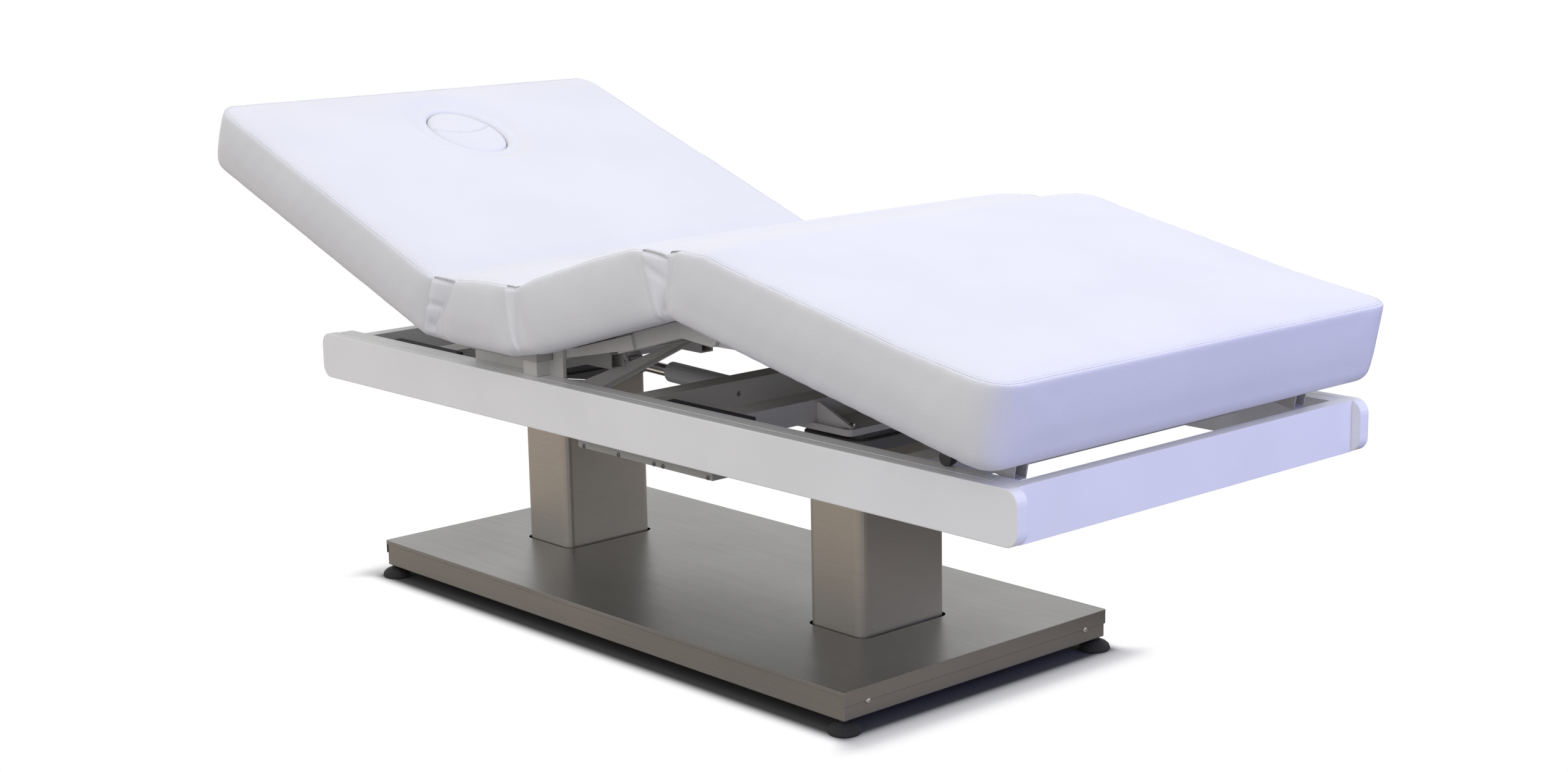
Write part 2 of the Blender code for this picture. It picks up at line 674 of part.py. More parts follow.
def build_beams():
    """Column top plates with gussets, the cross beams and the dark brackets at the rails."""
    beam_reach = INNER_RAIL_Y - GAP - BRACKET_SHEET - GAP
    for sign, end in ((-1, "head"), (1, "foot")):
        column_x = BASE_X + sign * COLUMN_X
        beam_x = column_x - COLUMN_BEAM_SHIFT
        beam_foot_face = beam_x + COLUMN_BEAM_WIDTH / 2
        plate_end = column_x + TOP_PLATE_LENGTH / 2
        plate = solid(f"{end}_top_plate", frame_paint(), lambda bm: prism(
            bm, [(column_x + a, b) for a, b in rounded_outline(
                TOP_PLATE_LENGTH, TOP_PLATE_WIDTH, TOP_PLATE_CORNER, 3)],
            TOP_PLATE_BOTTOM, TOP_PLATE_TOP))
        web_end, web_root = plate_end - GUSSET_SETBACK, TOP_PLATE_TOP - GUSSET_ROOT
        web = [(beam_foot_face + GAP, web_root), (web_end, web_root), (web_end, TOP_PLATE_TOP + GUSSET_NOSE),
               (beam_foot_face + GUSSET_HEAD, TOP_PLATE_TOP + GUSSET_HEIGHT),
               (beam_foot_face + GAP, TOP_PLATE_TOP + GUSSET_HEIGHT)]
        for side in (-1, 1):
            low, high = beside(side, GUSSET_OFFSET - GUSSET_THICKNESS / 2,
                               GUSSET_OFFSET + GUSSET_THICKNESS / 2)
            join(plate, lambda bm: prism(bm, web, low, high, "Y"))
        solid(f"{end}_column_beam", frame_paint(), lambda bm: box(
            bm, (beam_x - COLUMN_BEAM_WIDTH / 2, -beam_reach, BEAM_BOTTOM),
            (beam_foot_face, beam_reach, BEAM_TOP)))
        for side in (-1, 1):
            bracket(f"{end}_rail_bracket_{side_name(side)}", column_x - BRACKET_SHIFT, side)

    def drilled_beam(name, x, width, hole_y, top):
        beam = solid(name, frame_paint(), lambda bm: box(
            bm, (x - width / 2, -INNER_RAIL_Y + GAP, top - BEAM_HEIGHT),
            (x + width / 2, INNER_RAIL_Y - GAP, top)))
        for side in (-1, 1):
            cut(beam, lambda bm: prism(bm, circle_outline(
                BEAM_HOLE_RADIUS, 12, (side * hole_y, top - BEAM_HEIGHT / 2)), x - width, x + width, "X"))
        return beam

    top = RAIL_TOP - BEAM_DROP
    beam_x = BASE_X + ACTUATOR_BEAM_X
    beam = drilled_beam("actuator_beam", beam_x, ACTUATOR_BEAM_WIDTH, ACTUATOR_BEAM_HOLE_Y, top)
    face = beam_x - ACTUATOR_BEAM_WIDTH / 2
    clevis(beam, BACK_ACTUATOR_Y, (BASE_X + BACK_ACTUATOR_REAR[0], BACK_ACTUATOR_REAR[1]),
           [(face + WELD_LAP, top - BEAM_HEIGHT + CLEVIS_ROOT_LOW),
            (face + WELD_LAP, top - CLEVIS_ROOT_DROP)])
    drilled_beam("leg_beam", BASE_X + LEG_BEAM_X, LEG_BEAM_WIDTH, LEG_BEAM_HOLE_Y, top)


def bracket(name, x, side):
    """A folded steel angle that hangs a column beam from the inner rail."""
    outside = INNER_RAIL_Y - GAP
    top = BEAM_TOP + GAP + BRACKET_SHEET
    profile = [(outside, BEAM_BOTTOM), (outside, top), (outside - BRACKET_FLANGE, top),
               (outside - BRACKET_FLANGE, top - BRACKET_SHEET),
               (outside - BRACKET_SHEET, top - BRACKET_SHEET),
               (outside - BRACKET_SHEET, BEAM_BOTTOM)]
    return solid(name, dark_steel(), lambda bm: prism(
        bm, [(side * a, b) for a, b in profile], x - BRACKET_LENGTH / 2, x + BRACKET_LENGTH / 2, "X"))


def clevis(target, y, pin, roots):
    """Join two cheeks and the pin between them to a beam, in the beam's frame."""
    outline = hull_outline(circle_outline(EYE_RADIUS, 16, pin) + roots)
    for side in (-1, 1):
        start = y + side * LEVER_SLOT / 2
        low, high = min(start, start + side * LEVER_PLATE), max(start, start + side * LEVER_PLATE)
        join(target, lambda bm: prism(bm, outline, low, high, "Y"))
    reach = LEVER_SLOT / 2 + LEVER_PLATE / 2
    join(target, lambda bm: prism(bm, circle_outline(PIN_RADIUS, 12, pin), y - reach, y + reach, "Y"))


def build_control_box():
    """Flat control box hung under the near rails."""
    under = RAIL_BOTTOM - GAP
    bottom = under - BOX_DROP
    front = RAIL_HALF_WIDTH - BOX_SETBACK
    inside = INNER_RAIL_Y - GAP - BRACKET_SHEET - GAP
    top = min(bottom + BOX_HEIGHT, BEAM_BOTTOM - GAP)
    profile = [(-front, bottom), (-front + BOX_DEPTH, bottom), (-front + BOX_DEPTH, top),
               (-inside, top), (-inside, under), (-front, under)]
    solid("control_box", grey_plastic(), lambda bm: prism(
        bm, profile, BASE_X + BOX_START, BASE_X + BOX_START + BOX_LENGTH, "X"))


def cushion_rings(start, end, bottom, top, start_corner, end_corner, lean=0.0, width=CUSHION_WIDTH):
    """Rings of a cushion block with rounded upright corners and rounded edges.

    start and end are the block's ends in X; a lean moves the top of the start end inward.
    """
    levels = []
    for step in range(4):
        angle = math.radians(90 * step / 3)
        levels.append((bottom + CUSHION_BOTTOM_RADIUS * (1 - math.cos(angle)),
                       CUSHION_BOTTOM_RADIUS * (1 - math.sin(angle))))
    for step in range(4):
        angle = math.radians(90 * step / 3)
        levels.append((top - CUSHION_TOP_RADIUS * (1 - math.sin(angle)),
                       CUSHION_TOP_RADIUS * (1 - math.cos(angle))))
    if lean:
        middle = levels[3][0] + CUSHION_WAIST_SHARE * (levels[4][0] - levels[3][0])
        levels.insert(4, (middle, 0.0))
    rings = []
    for level, inset in levels:
        leaned = lean * max(0.0, (level - (top - SEAT_TOP_RISE)) / SEAT_TOP_RISE)
        low_x = start + leaned + (inset if start_corner > CUSHION_END_RADIUS else inset * CUSHION_END_SHARE)
        high_x = end - (inset if end_corner > CUSHION_END_RADIUS else inset * CUSHION_END_SHARE)
        half_width = width / 2 - inset
        ring = []
        corners = [(high_x, 1, 1, end_corner), (low_x, -1, 1, start_corner),
                   (low_x, -1, -1, start_corner), (high_x, 1, -1, end_corner)]
        for corner, (edge_x, sign_x, sign_y, radius) in enumerate(corners):
            turn = max(radius - inset, LEAST_CORNER)
            for step in range(CORNER_STEPS + 1):
                angle = math.radians(90 * corner + 90 * step / CORNER_STEPS)
                ring.append(Vector((edge_x - sign_x * turn + turn * math.cos(angle),
                                    sign_y * (half_width - turn) + turn * math.sin(angle), level)))
        rings.append(ring)
    return rings


def oval_rings(centre_x, length, width, levels, steps=32):
    """Rings of an oval plug from (height, inset) levels."""
    rings = []
    for level, inset in levels:
        ring = []
        for step in range(steps):
            angle = 2 * math.pi * step / steps
            ring.append(Vector((centre_x + (length / 2 - inset) * math.cos(angle),
                                (width / 2 - inset) * math.sin(angle), level)))
        rings.append(ring)
    return rings


def build_seat():
    """The fixed seat section on the side plates that carry both of its hinges."""
    head_axis = BASE_X - SEAT_LENGTH
    foot_axis = BASE_X
    top = SEAT_HINGE_Z + SEAT_TOP_RISE
    start = head_axis + KNUCKLE_REACH
    end = foot_axis - KNUCKLE_REACH
    solid("seat_cushion", upholstery(), lambda bm: rings_solid(bm, cushion_rings(
        start, end, SEAT_BOARD_TOP, top, CUSHION_END_RADIUS, CUSHION_END_RADIUS, SEAT_LEAN)))
    solid("seat_board", plywood(), lambda bm: box(
        bm, (start, -BOARD_WIDTH / 2, SEAT_BOARD_BOTTOM + GAP),
        (end, BOARD_WIDTH / 2, SEAT_BOARD_TOP - GAP)))
    for side in (-1, 1):
        build_seat_tubes(side, start + SEAT_TUBE_SETBACK, foot_axis + SEAT_TUBE_OVERHANG)
        build_seat_plate(side, head_axis, foot_axis)


def build_seat_tubes(side, start, end):
    """Two tubes under one half of the seat board, joined by a cross bar at the head end."""
    bottom = SEAT_BOARD_BOTTOM - TUBE_SIZE

    def tube(bm, y):
        low, high = beside(side, y - TUBE_SIZE / 2, y + TUBE_SIZE / 2)
        square_tube(bm, start, end, (low, bottom), (high, SEAT_BOARD_BOTTOM))

    def cross_bar(bm):
        sunk = (TUBE_SIZE - TUBE_WALL) / 2
        low, high = beside(side, SEAT_INNER_TUBE_Y + sunk, SEAT_TUBE_Y - sunk)
        box(bm, (start + TUBE_WALL, low, bottom + TUBE_WALL),
            (start + TUBE_WALL + TUBE_SIZE, high, SEAT_BOARD_BOTTOM - TUBE_WALL))

    tubes = solid(f"seat_tube_{side_name(side)}", frame_paint(), lambda bm: tube(bm, SEAT_TUBE_Y))
    join(tubes, cross_bar, lambda bm: tube(bm, SEAT_INNER_TUBE_Y))


def build_seat_plate(side, head_axis, foot_axis):
    """Side plate bolted inside the inner rail, with a knuckle at each end and a post."""
    low, high = beside(side, HINGE_PLATE_Y - HINGE_PLATE, HINGE_PLATE_Y)
    bottom = RAIL_TOP - SIDE_PLATE_DROP
    body = [(head_axis - KNUCKLE_RADIUS, bottom), (foot_axis + KNUCKLE_RADIUS, bottom),
            (foot_axis + KNUCKLE_RADIUS, SEAT_BOARD_BOTTOM), (head_axis - KNUCKLE_RADIUS, SEAT_BOARD_BOTTOM)]
    plate = solid(f"seat_side_plate_{side_name(side)}", frame_paint(),
                  lambda bm: prism(bm, body, low, high, "Y"))
    for x, z in ((head_axis, SEAT_HINGE_Z), (foot_axis, THIGH_HINGE_Z)):
        upright = hull_outline(circle_outline(KNUCKLE_RADIUS, 24, (x, z)) + [
            (x - KNUCKLE_RADIUS, bottom + KNUCKLE_ROOT), (x + KNUCKLE_RADIUS, bottom + KNUCKLE_ROOT)])
        join(plate, lambda bm: prism(bm, upright, low, high, "Y"))
        cut(plate, lambda bm: prism(bm, circle_outline(PIN_RADIUS + GAP, 16, (x, z)), low - CUT_OVER,
                                    high + CUT_OVER, "Y"))
    post_low, post_high = beside(side, HINGE_PLATE_Y - HINGE_PLATE / 2, RAIL_INNER_Y - GAP)
    post_x = BASE_X + SEAT_POST_X
    join(plate, lambda bm: box(bm, (post_x - SEAT_POST_LENGTH / 2, post_low, RAIL_TOP + GAP),
                               (post_x + SEAT_POST_LENGTH / 2, post_high, SEAT_BOARD_BOTTOM)))


def section_arm(name, side, pivot, direction, tube_start, tube_end, tube_top, lugs):
    """A side tube of a section with its hinge lugs.

    direction is -1 or 1 for a section that lies toward the head or the foot. Each lug is
    (axis distance, axis height, outer Y, kind): a pin lug has a pin that points outward,
    and an eye lug has a hole.
    """
    lug_outer = min(outer for _, _, outer, _ in lugs)
    outer_y = lug_outer - LUG_PLATE
    tube_bottom = tube_top - TUBE_SIZE
    low, high = beside(side, outer_y - TUBE_SIZE, outer_y)
    ends = sorted((direction * tube_start, direction * tube_end))
    arm = solid(name, frame_paint(), lambda bm: square_tube(
        bm, ends[0], ends[1], (low, tube_bottom), (high, tube_top)), pivot)
    for distance, height, outer, kind in lugs:
        reach = tube_start if distance < tube_start else tube_end
        inward = 1 if distance < tube_start else -1
        x = direction * distance
        strap_end = direction * (reach + inward * LUG_STRAP)
        strap = [(strap_end, tube_top - TUBE_WALL), (strap_end, tube_bottom)]
        eye = circle_outline(KNUCKLE_RADIUS, 24, (x, height))
        low, high = beside(side, outer_y - LUG_ROOT, outer)
        if abs(height - tube_top) > UPRIGHT_RISE:
            strap_low = tube_top - STRAP_DEPTH
            upright = hull_outline(eye + [(x - KNUCKLE_RADIUS, strap_low), (x + KNUCKLE_RADIUS, strap_low)])
            join(arm, lambda bm: prism(bm, upright, low, high, "Y"))
            edge = x - direction * KNUCKLE_RADIUS
            outline = hull_outline([(edge, tube_top - GAP), (edge, strap_low)] + strap)
        else:
            outline = hull_outline(eye + strap + [(x, tube_bottom)])
        join(arm, lambda bm: prism(bm, outline, low, high, "Y"))
        if kind == "pin":
            low, high = beside(side, outer - PIN_ROOT, outer + SIDE_GAP + HINGE_PLATE)
            join(arm, lambda bm: prism(bm, circle_outline(PIN_RADIUS, 16, (x, height)), low, high, "Y"))
        else:
            low, high = beside(side, outer_y - CUT_OVER, outer + CUT_OVER)
            cut(arm, lambda bm: prism(bm, circle_outline(PIN_RADIUS + GAP, 16, (x, height)), low, high, "Y"))
    return arm


def lever_bar(name, pivot, bar_x, bar_top, y, pin, reach):
    """A cross tube with two cheeks that the actuator rod pushes on."""
    bar = solid(name, frame_paint(), lambda bm: box(
        bm, (bar_x - TUBE_SIZE / 2, -reach, bar_top - TUBE_SIZE), (bar_x + TUBE_SIZE / 2, reach, bar_top)),
        pivot)
    half_root, root_top = TUBE_SIZE / 2 - LEVER_ROOT_SETBACK, bar_top - TUBE_SIZE + LEVER_ROOT_RISE
    root = [(bar_x - half_root, root_top), (bar_x + half_root, root_top)]
    outline = hull_outline(circle_outline(EYE_RADIUS, 20, pin) + root)
    for side in (-1, 1):
        inner = y + side * LEVER_SLOT / 2
        outer = inner + side * LEVER_PLATE
        join(bar, lambda bm: prism(bm, outline, min(inner, outer), max(inner, outer), "Y"))
        head = sorted((outer - side * PIN_HEAD_ROOT, outer + side * PIN_HEAD_HEIGHT))
        join(bar, lambda bm: prism(bm, circle_outline(PIN_RADIUS + PIN_HEAD_MARGIN, 12, pin), *head, "Y"))
    return bar


def build_back():
    """Back section: cushion with its face hole, board, side tubes and lever bar."""
    pivot = pivot_empty("back_pivot", (BASE_X - SEAT_LENGTH, 0.0, SEAT_HINGE_Z), BACK_ANGLE)
    underside = BACK_TOP_RISE - BACK_THICKNESS
    board_bottom = underside + BOARD_RECESS
    board_top = board_bottom + BOARD_THICKNESS
    hole_x = -FACE_HOLE_DISTANCE
    rings = cushion_rings(-BACK_LENGTH, -KNUCKLE_REACH, underside, BACK_TOP_RISE,
                          CUSHION_CORNER_RADIUS, CUSHION_END_RADIUS)
    cushion = solid("back_cushion", upholstery(), lambda bm: rings_solid(bm, rings), pivot)
    ledge = BACK_TOP_RISE - PLUG_HEIGHT
    cut(cushion,
        lambda bm: box(bm, (-BACK_LENGTH + BOARD_SETBACK - SIDE_GAP, -BOARD_WIDTH / 2 - SIDE_GAP,
                            underside - CUT_OVER),
                       (CUT_OVER, BOARD_WIDTH / 2 + SIDE_GAP, board_top + GAP)),
        lambda bm: rings_solid(bm, oval_rings(hole_x, FACE_HOLE_LENGTH, FACE_HOLE_WIDTH,
                                              [(ledge, 0.0), (BACK_TOP_RISE + CUT_OVER, 0.0)])),
        lambda bm: rings_solid(bm, oval_rings(hole_x, FACE_HOLE_LENGTH, FACE_HOLE_WIDTH,
                                              [(underside - CUT_OVER, FACE_HOLE_STEP),
                                               (ledge + CUT_OVER, FACE_HOLE_STEP)])))
    board = solid("back_board", plywood(), lambda bm: box(
        bm, (-BACK_LENGTH + BOARD_SETBACK, -BOARD_WIDTH / 2, board_bottom),
        (-BOARD_SETBACK, BOARD_WIDTH / 2, board_top)), pivot)
    cut(board, lambda bm: rings_solid(bm, oval_rings(
        hole_x, FACE_HOLE_LENGTH, FACE_HOLE_WIDTH,
        [(board_bottom - CUT_OVER, FACE_HOLE_STEP), (board_top + CUT_OVER, FACE_HOLE_STEP)])))
    crown = [(ledge + GAP, PLUG_CHAMFER_INSET), (ledge + PLUG_CHAMFER_HEIGHT, 0.0)]
    crown += [(BACK_TOP_RISE - drop, inset) for drop, inset in PLUG_CROWN]
    solid("face_plug", upholstery(), lambda bm: rings_solid(bm, oval_rings(
        hole_x, FACE_HOLE_LENGTH, FACE_HOLE_WIDTH,
        [(level, inset + PLUG_GAP) for level, inset in crown])), pivot)
    for side in (-1, 1):
        section_arm(f"back_arm_{side_name(side)}", side, pivot, -1, BOARD_SETBACK, BACK_TUBE_END,
                    board_bottom - GAP, [(0.0, 0.0, LUG_Y, "pin")])
    lever_bar("back_lever_bar", pivot, -BACK_LEVER_BAR, board_bottom - GAP, BACK_ACTUATOR_Y,
              BACK_LEVER_PIN, LUG_Y - LUG_PLATE - TUBE_SIZE - GAP)
    return pivot


def build_thigh():
    """Thigh section between the seat hinge and the knee hinge, its board let into the cushion."""
    pivot = pivot_empty("thigh_pivot", (BASE_X, 0.0, THIGH_HINGE_Z), -THIGH_ANGLE)
    underside = THIGH_TOP_RISE - THIGH_THICKNESS
    board_bottom = underside + BOARD_RECESS
    board_top = board_bottom + BOARD_THICKNESS
    end = THIGH_LENGTH - KNEE_CUSHION_GAP
    rings = cushion_rings(KNUCKLE_REACH, end, underside, THIGH_TOP_RISE,
                          CUSHION_END_RADIUS, CUSHION_END_RADIUS)
    cushion = solid("thigh_cushion", upholstery(), lambda bm: rings_solid(bm, rings), pivot)
    cut(cushion, lambda bm: box(
        bm, (0.0, -BOARD_WIDTH / 2 - SIDE_GAP, underside - CUT_OVER),
        (THIGH_LENGTH, BOARD_WIDTH / 2 + SIDE_GAP, board_top + GAP)))
    solid("thigh_board", plywood(), lambda bm: box(
        bm, (BOARD_SETBACK, -BOARD_WIDTH / 2, board_bottom),
        (end - KNEE_CUSHION_GAP, BOARD_WIDTH / 2, board_top)), pivot)
    for side in (-1, 1):
        section_arm(f"thigh_arm_{side_name(side)}", side, pivot, 1, THIGH_TUBE_START,
                    THIGH_LENGTH - BOARD_SETBACK, board_bottom - GAP,
                    [(0.0, 0.0, LUG_Y, "pin"), (THIGH_LENGTH, -KNEE_DROP, LUG_Y, "eye")])
    lever_bar("thigh_lever_bar", pivot, THIGH_LEVER_BAR, board_bottom - GAP, KNEE_ACTUATOR_Y,
              THIGH_LEVER_PIN, LUG_Y - LUG_PLATE - TUBE_SIZE - GAP)
    return pivot


def build_leg(thigh_pivot):
    """Leg section, hung from the thigh's far end and gliding on the inner rails."""
    pivot = pivot_empty("knee_pivot", (THIGH_LENGTH, 0.0, -KNEE_DROP), THIGH_ANGLE + LEG_ANGLE, thigh_pivot)
    underside = LEG_TOP_RISE - LEG_THICKNESS
    board_bottom = underside - GAP - BOARD_THICKNESS
    tube_top = board_bottom - GAP
    rings = cushion_rings(KNEE_CUSHION_GAP, LEG_LENGTH, underside, LEG_TOP_RISE,
                          CUSHION_END_RADIUS, LEG_CORNER_RADIUS, width=LEG_CUSHION_WIDTH)
    solid("leg_cushion", upholstery(), lambda bm: rings_solid(bm, rings), pivot)
    solid("leg_board", plywood(), lambda bm: box(
        bm, (2 * KNEE_CUSHION_GAP, -BOARD_WIDTH / 2, board_bottom),
        (LEG_LENGTH - LEG_BOARD_SETBACK, BOARD_WIDTH / 2, underside - GAP)), pivot)
    # The glide's centre stands over the inner rail by its radius in the pose of the photograph
    lean = math.radians(LEG_ANGLE)
    axis_height = THIGH_HINGE_Z + rotated_drop() - GLIDE_DISTANCE * math.sin(lean)
    glide_rise = (RAIL_TOP + SIDE_GAP + GLIDE_RADIUS - axis_height) / math.cos(lean)
    tube_outer = LEG_LUG_Y - LUG_PLATE
    for side in (-1, 1):
        arm = section_arm(f"leg_arm_{side_name(side)}", side, pivot, 1, BOARD_SETBACK, LEG_TUBE_LENGTH,
                          tube_top, [(0.0, 0.0, LEG_LUG_Y, "pin")])
        low, high = beside(side, tube_outer - TUBE_WALL / 2, INNER_RAIL_Y + GLIDE_WIDTH)
        join(arm, lambda bm: prism(bm, circle_outline(
            PIN_RADIUS, 12, (GLIDE_DISTANCE, glide_rise + GLIDE_PIN_RISE)), low, high, "Y"))
        low, high = beside(side, INNER_RAIL_Y + GLIDE_SETBACK, INNER_RAIL_Y + GLIDE_WIDTH)
        join(arm, lambda bm: prism(bm, circle_outline(GLIDE_RADIUS, 24, (GLIDE_DISTANCE, glide_rise)),
                                   low, high, "Y"))
    reach = tube_outer - TUBE_SIZE - GAP
    solid("leg_cross_bar", frame_paint(), lambda bm: square_tube(
        bm, -reach, reach, (LEG_CROSS_BAR, tube_top - TUBE_SIZE), (LEG_CROSS_BAR + TUBE_SIZE, tube_top), "Y"),
        pivot)


def rotated_drop():
    """Height of the knee axis over the thigh hinge in the pose of the photograph."""
    lift = math.radians(THIGH_ANGLE)
    return THIGH_LENGTH * math.sin(lift) - KNEE_DROP * math.cos(lift)


def lever_place(axis, angle, pin):
    """Place in X and Z of a lever pin after its section is turned by an angle about Y."""
    turn = math.radians(angle)
    return (axis[0] + pin[0] * math.cos(turn) + pin[1] * math.sin(turn),
            axis[1] - pin[0] * math.sin(turn) + pin[1] * math.cos(turn))


def build_actuator(name, y, rear, front, housing_length, stroke, motor_side):
    """A linear actuator between two pins: a housing with its motor, and a rod with an eye.

    It is drawn along +X from its rear pin and turned onto the line to its front pin. The
    stroke is how far the rod goes in and out from the pose of the photograph.
    """
    span_x, span_z = front[0] - rear[0], front[1] - rear[1]
    length = math.hypot(span_x, span_z)
    pivot = pivot_empty(f"{name}_pivot", (rear[0], y, rear[1]), -math.degrees(math.atan2(span_z, span_x)))
    block_start = EYE_RADIUS
    block_end = block_start + HOUSING_BLOCK_LENGTH
    half_eye = EYE_WIDTH / 2
    half_block = HOUSING_BLOCK / 2
    eye = circle_outline(EYE_RADIUS, 20)
    housing = solid(name, dark_steel(), lambda bm: prism(bm, hull_outline(
        eye + [(block_start + HOUSING_LAP, EYE_RADIUS), (block_start + HOUSING_LAP, -EYE_RADIUS)]),
        -half_eye, half_eye, "Y"), pivot)
    cut(housing, lambda bm: prism(bm, circle_outline(PIN_RADIUS + GAP, 16), -EYE_WIDTH, EYE_WIDTH, "Y"))
    join(housing,
         lambda bm: prism(bm, rounded_outline(
             HOUSING_BLOCK, 2 * HOUSING_RADIUS + HOUSING_BLOCK_MARGIN, HOUSING_CORNER, 2),
                          block_start + HOUSING_ROOT, block_end, "X"),
         lambda bm: prism(bm, circle_outline(HOUSING_RADIUS), block_end - HOUSING_LAP, housing_length, "X"))
    low, high = sorted((motor_side * half_block / 2, motor_side * MOTOR_OFFSET))
    join(housing,
         lambda bm: box(bm, (block_start + HOUSING_LAP, low, -HOUSING_RADIUS),
                        (block_end - HOUSING_LAP, high, HOUSING_RADIUS)),
         lambda bm: prism(bm, circle_outline(MOTOR_RADIUS, centre=(motor_side * MOTOR_OFFSET, 0.0)),
                          block_start + MOTOR_SETBACK, block_start + MOTOR_LENGTH, "X"))
    rod_start = housing_length - stroke[1] - BORE_SPARE
    bore_start = rod_start - stroke[0] - BORE_SPARE
    cut(housing, lambda bm: prism(bm, circle_outline(ROD_RADIUS + RUNNING_GAP), bore_start,
                                  housing_length + CUT_OVER, "X"))
    rod = solid(f"{name}_rod", chrome(), lambda bm: prism(
        bm, circle_outline(ROD_RADIUS), rod_start, length - EYE_RADIUS + ROD_ROOT, "X"), pivot)
    join(rod, lambda bm: prism(bm, [(length + a, b) for a, b in eye], -half_eye, half_eye, "Y"))
    return pivot


def main():
    clear_scene()
    build_base()
    build_feet()
    build_columns()
    build_rails()
    build_beams()
    build_control_box()
    build_seat()
    build_back()
    thigh_pivot = build_thigh()
    build_leg(thigh_pivot)
    back_front = lever_place((BASE_X - SEAT_LENGTH, SEAT_HINGE_Z), BACK_ANGLE, BACK_LEVER_PIN)
    build_actuator("back_actuator", BACK_ACTUATOR_Y, (BASE_X + BACK_ACTUATOR_REAR[0], BACK_ACTUATOR_REAR[1]),
                   back_front, BACK_HOUSING_LENGTH, BACK_ROD_STROKE, 1)
    knee_front = lever_place((BASE_X, THIGH_HINGE_Z), -THIGH_ANGLE, THIGH_LEVER_PIN)
    build_actuator("knee_actuator", KNEE_ACTUATOR_Y, (BASE_X + KNEE_ACTUATOR_REAR[0], KNEE_ACTUATOR_REAR[1]),
                   knee_front, KNEE_HOUSING_LENGTH, KNEE_ROD_STROKE, -1)


main()
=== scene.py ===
"""Dresses the treatment table: leather covers, seams, folds, finishes, fasteners and the studio.

X runs from the head end to the foot end, Y across the table and Z up, in metres. Each section
is worked in the flat frame of its hinge axis and then turned into the pose of the photograph.
"""

from __future__ import annotations

import json
import logging
import math
from collections.abc import Callable, Iterable, Sequence
from dataclasses import dataclass, field
from enum import Enum
from typing import Any

import bmesh
import bpy
import numpy as np
from mathutils import Matrix, Vector
from mathutils.bvhtree import BVHTree

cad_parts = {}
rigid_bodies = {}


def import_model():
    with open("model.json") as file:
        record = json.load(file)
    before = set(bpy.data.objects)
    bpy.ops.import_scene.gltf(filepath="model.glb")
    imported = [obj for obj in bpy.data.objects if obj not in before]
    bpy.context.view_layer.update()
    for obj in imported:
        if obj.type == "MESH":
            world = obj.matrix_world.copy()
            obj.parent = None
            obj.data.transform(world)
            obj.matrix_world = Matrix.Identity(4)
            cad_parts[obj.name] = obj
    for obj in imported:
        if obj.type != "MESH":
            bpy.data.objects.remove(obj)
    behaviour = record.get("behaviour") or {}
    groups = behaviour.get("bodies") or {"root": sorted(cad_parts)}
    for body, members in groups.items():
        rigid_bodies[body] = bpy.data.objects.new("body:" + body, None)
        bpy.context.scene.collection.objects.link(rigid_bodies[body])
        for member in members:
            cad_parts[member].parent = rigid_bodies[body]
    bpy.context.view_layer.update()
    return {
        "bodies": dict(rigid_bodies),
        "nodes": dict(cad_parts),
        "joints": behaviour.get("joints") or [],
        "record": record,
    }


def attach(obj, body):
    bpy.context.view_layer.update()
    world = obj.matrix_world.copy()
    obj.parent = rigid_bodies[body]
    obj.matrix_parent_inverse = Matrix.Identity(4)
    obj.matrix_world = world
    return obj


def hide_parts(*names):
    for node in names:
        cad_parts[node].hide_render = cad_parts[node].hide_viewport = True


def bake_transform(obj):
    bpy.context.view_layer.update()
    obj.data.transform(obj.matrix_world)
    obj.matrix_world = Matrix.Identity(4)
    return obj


log = logging.getLogger("treatment_table")

Number = float | int
Point = tuple[float, float, float]
Colour = tuple[float, float, float]

MM = 0.001


# Shaders


class Signal:
    """A socket of a shader tree that can be used in arithmetic."""

    def __init__(self, recipe: Recipe, socket: bpy.types.NodeSocket) -> None:
        """Wrap a socket.

        Args:
            recipe: The recipe whose tree the socket is in.
            socket: An output socket.
        """
        self.recipe = recipe
        self.socket = socket

    def _math(self, operation: str, first: Signal | Number, second: Signal | Number) -> Signal:
        """Add a Math node.

        Args:
            operation: The node's operation.
            first: The first value.
            second: The second value.

        Returns:
            The result.
        """
        return self.recipe.node("ShaderNodeMath", {"operation": operation}, {0: first, 1: second})

    def __add__(self, other: Signal | Number) -> Signal:
        """Return the sum."""
        return self._math("ADD", self, other)

    def __radd__(self, other: Number) -> Signal:
        """Return the sum with a number on the left."""
        return self._math("ADD", other, self)

    def __sub__(self, other: Signal | Number) -> Signal:
        """Return the difference."""
        return self._math("SUBTRACT", self, other)

    def __rsub__(self, other: Number) -> Signal:
        """Return a number less this value."""
        return self._math("SUBTRACT", other, self)

    def __mul__(self, other: Signal | Number) -> Signal:
        """Return the product."""
        return self._math("MULTIPLY", self, other)

    def __rmul__(self, other: Number) -> Signal:
        """Return the product with a number on the left."""
        return self._math("MULTIPLY", other, self)

    def __truediv__(self, other: Signal | Number) -> Signal:
        """Return the quotient."""
        return self._math("DIVIDE", self, other)

    def above(self, edge: Number) -> Signal:
        """Return 1 where this value is over an edge, and 0 elsewhere."""
        return self._math("GREATER_THAN", self, edge)

    def larger(self, other: Signal | Number) -> Signal:
        """Return the larger of two values."""
        return self._math("MAXIMUM", self, other)

    def root(self) -> Signal:
        """Return the square root."""
        return self._math("SQRT", self, 0.0)

    def ramped(self, low: float, high: float) -> Signal:
        """Map low to 0 and high to 1 with a smooth step.

        Args:
            low: The value that becomes 0.
            high: The value that becomes 1.

        Returns:
            The mapped value.
        """
        return self.recipe.node(
            "ShaderNodeMapRange", {"interpolation_type": "SMOOTHSTEP"},
            {"Value": self, "From Min": low, "From Max": high})


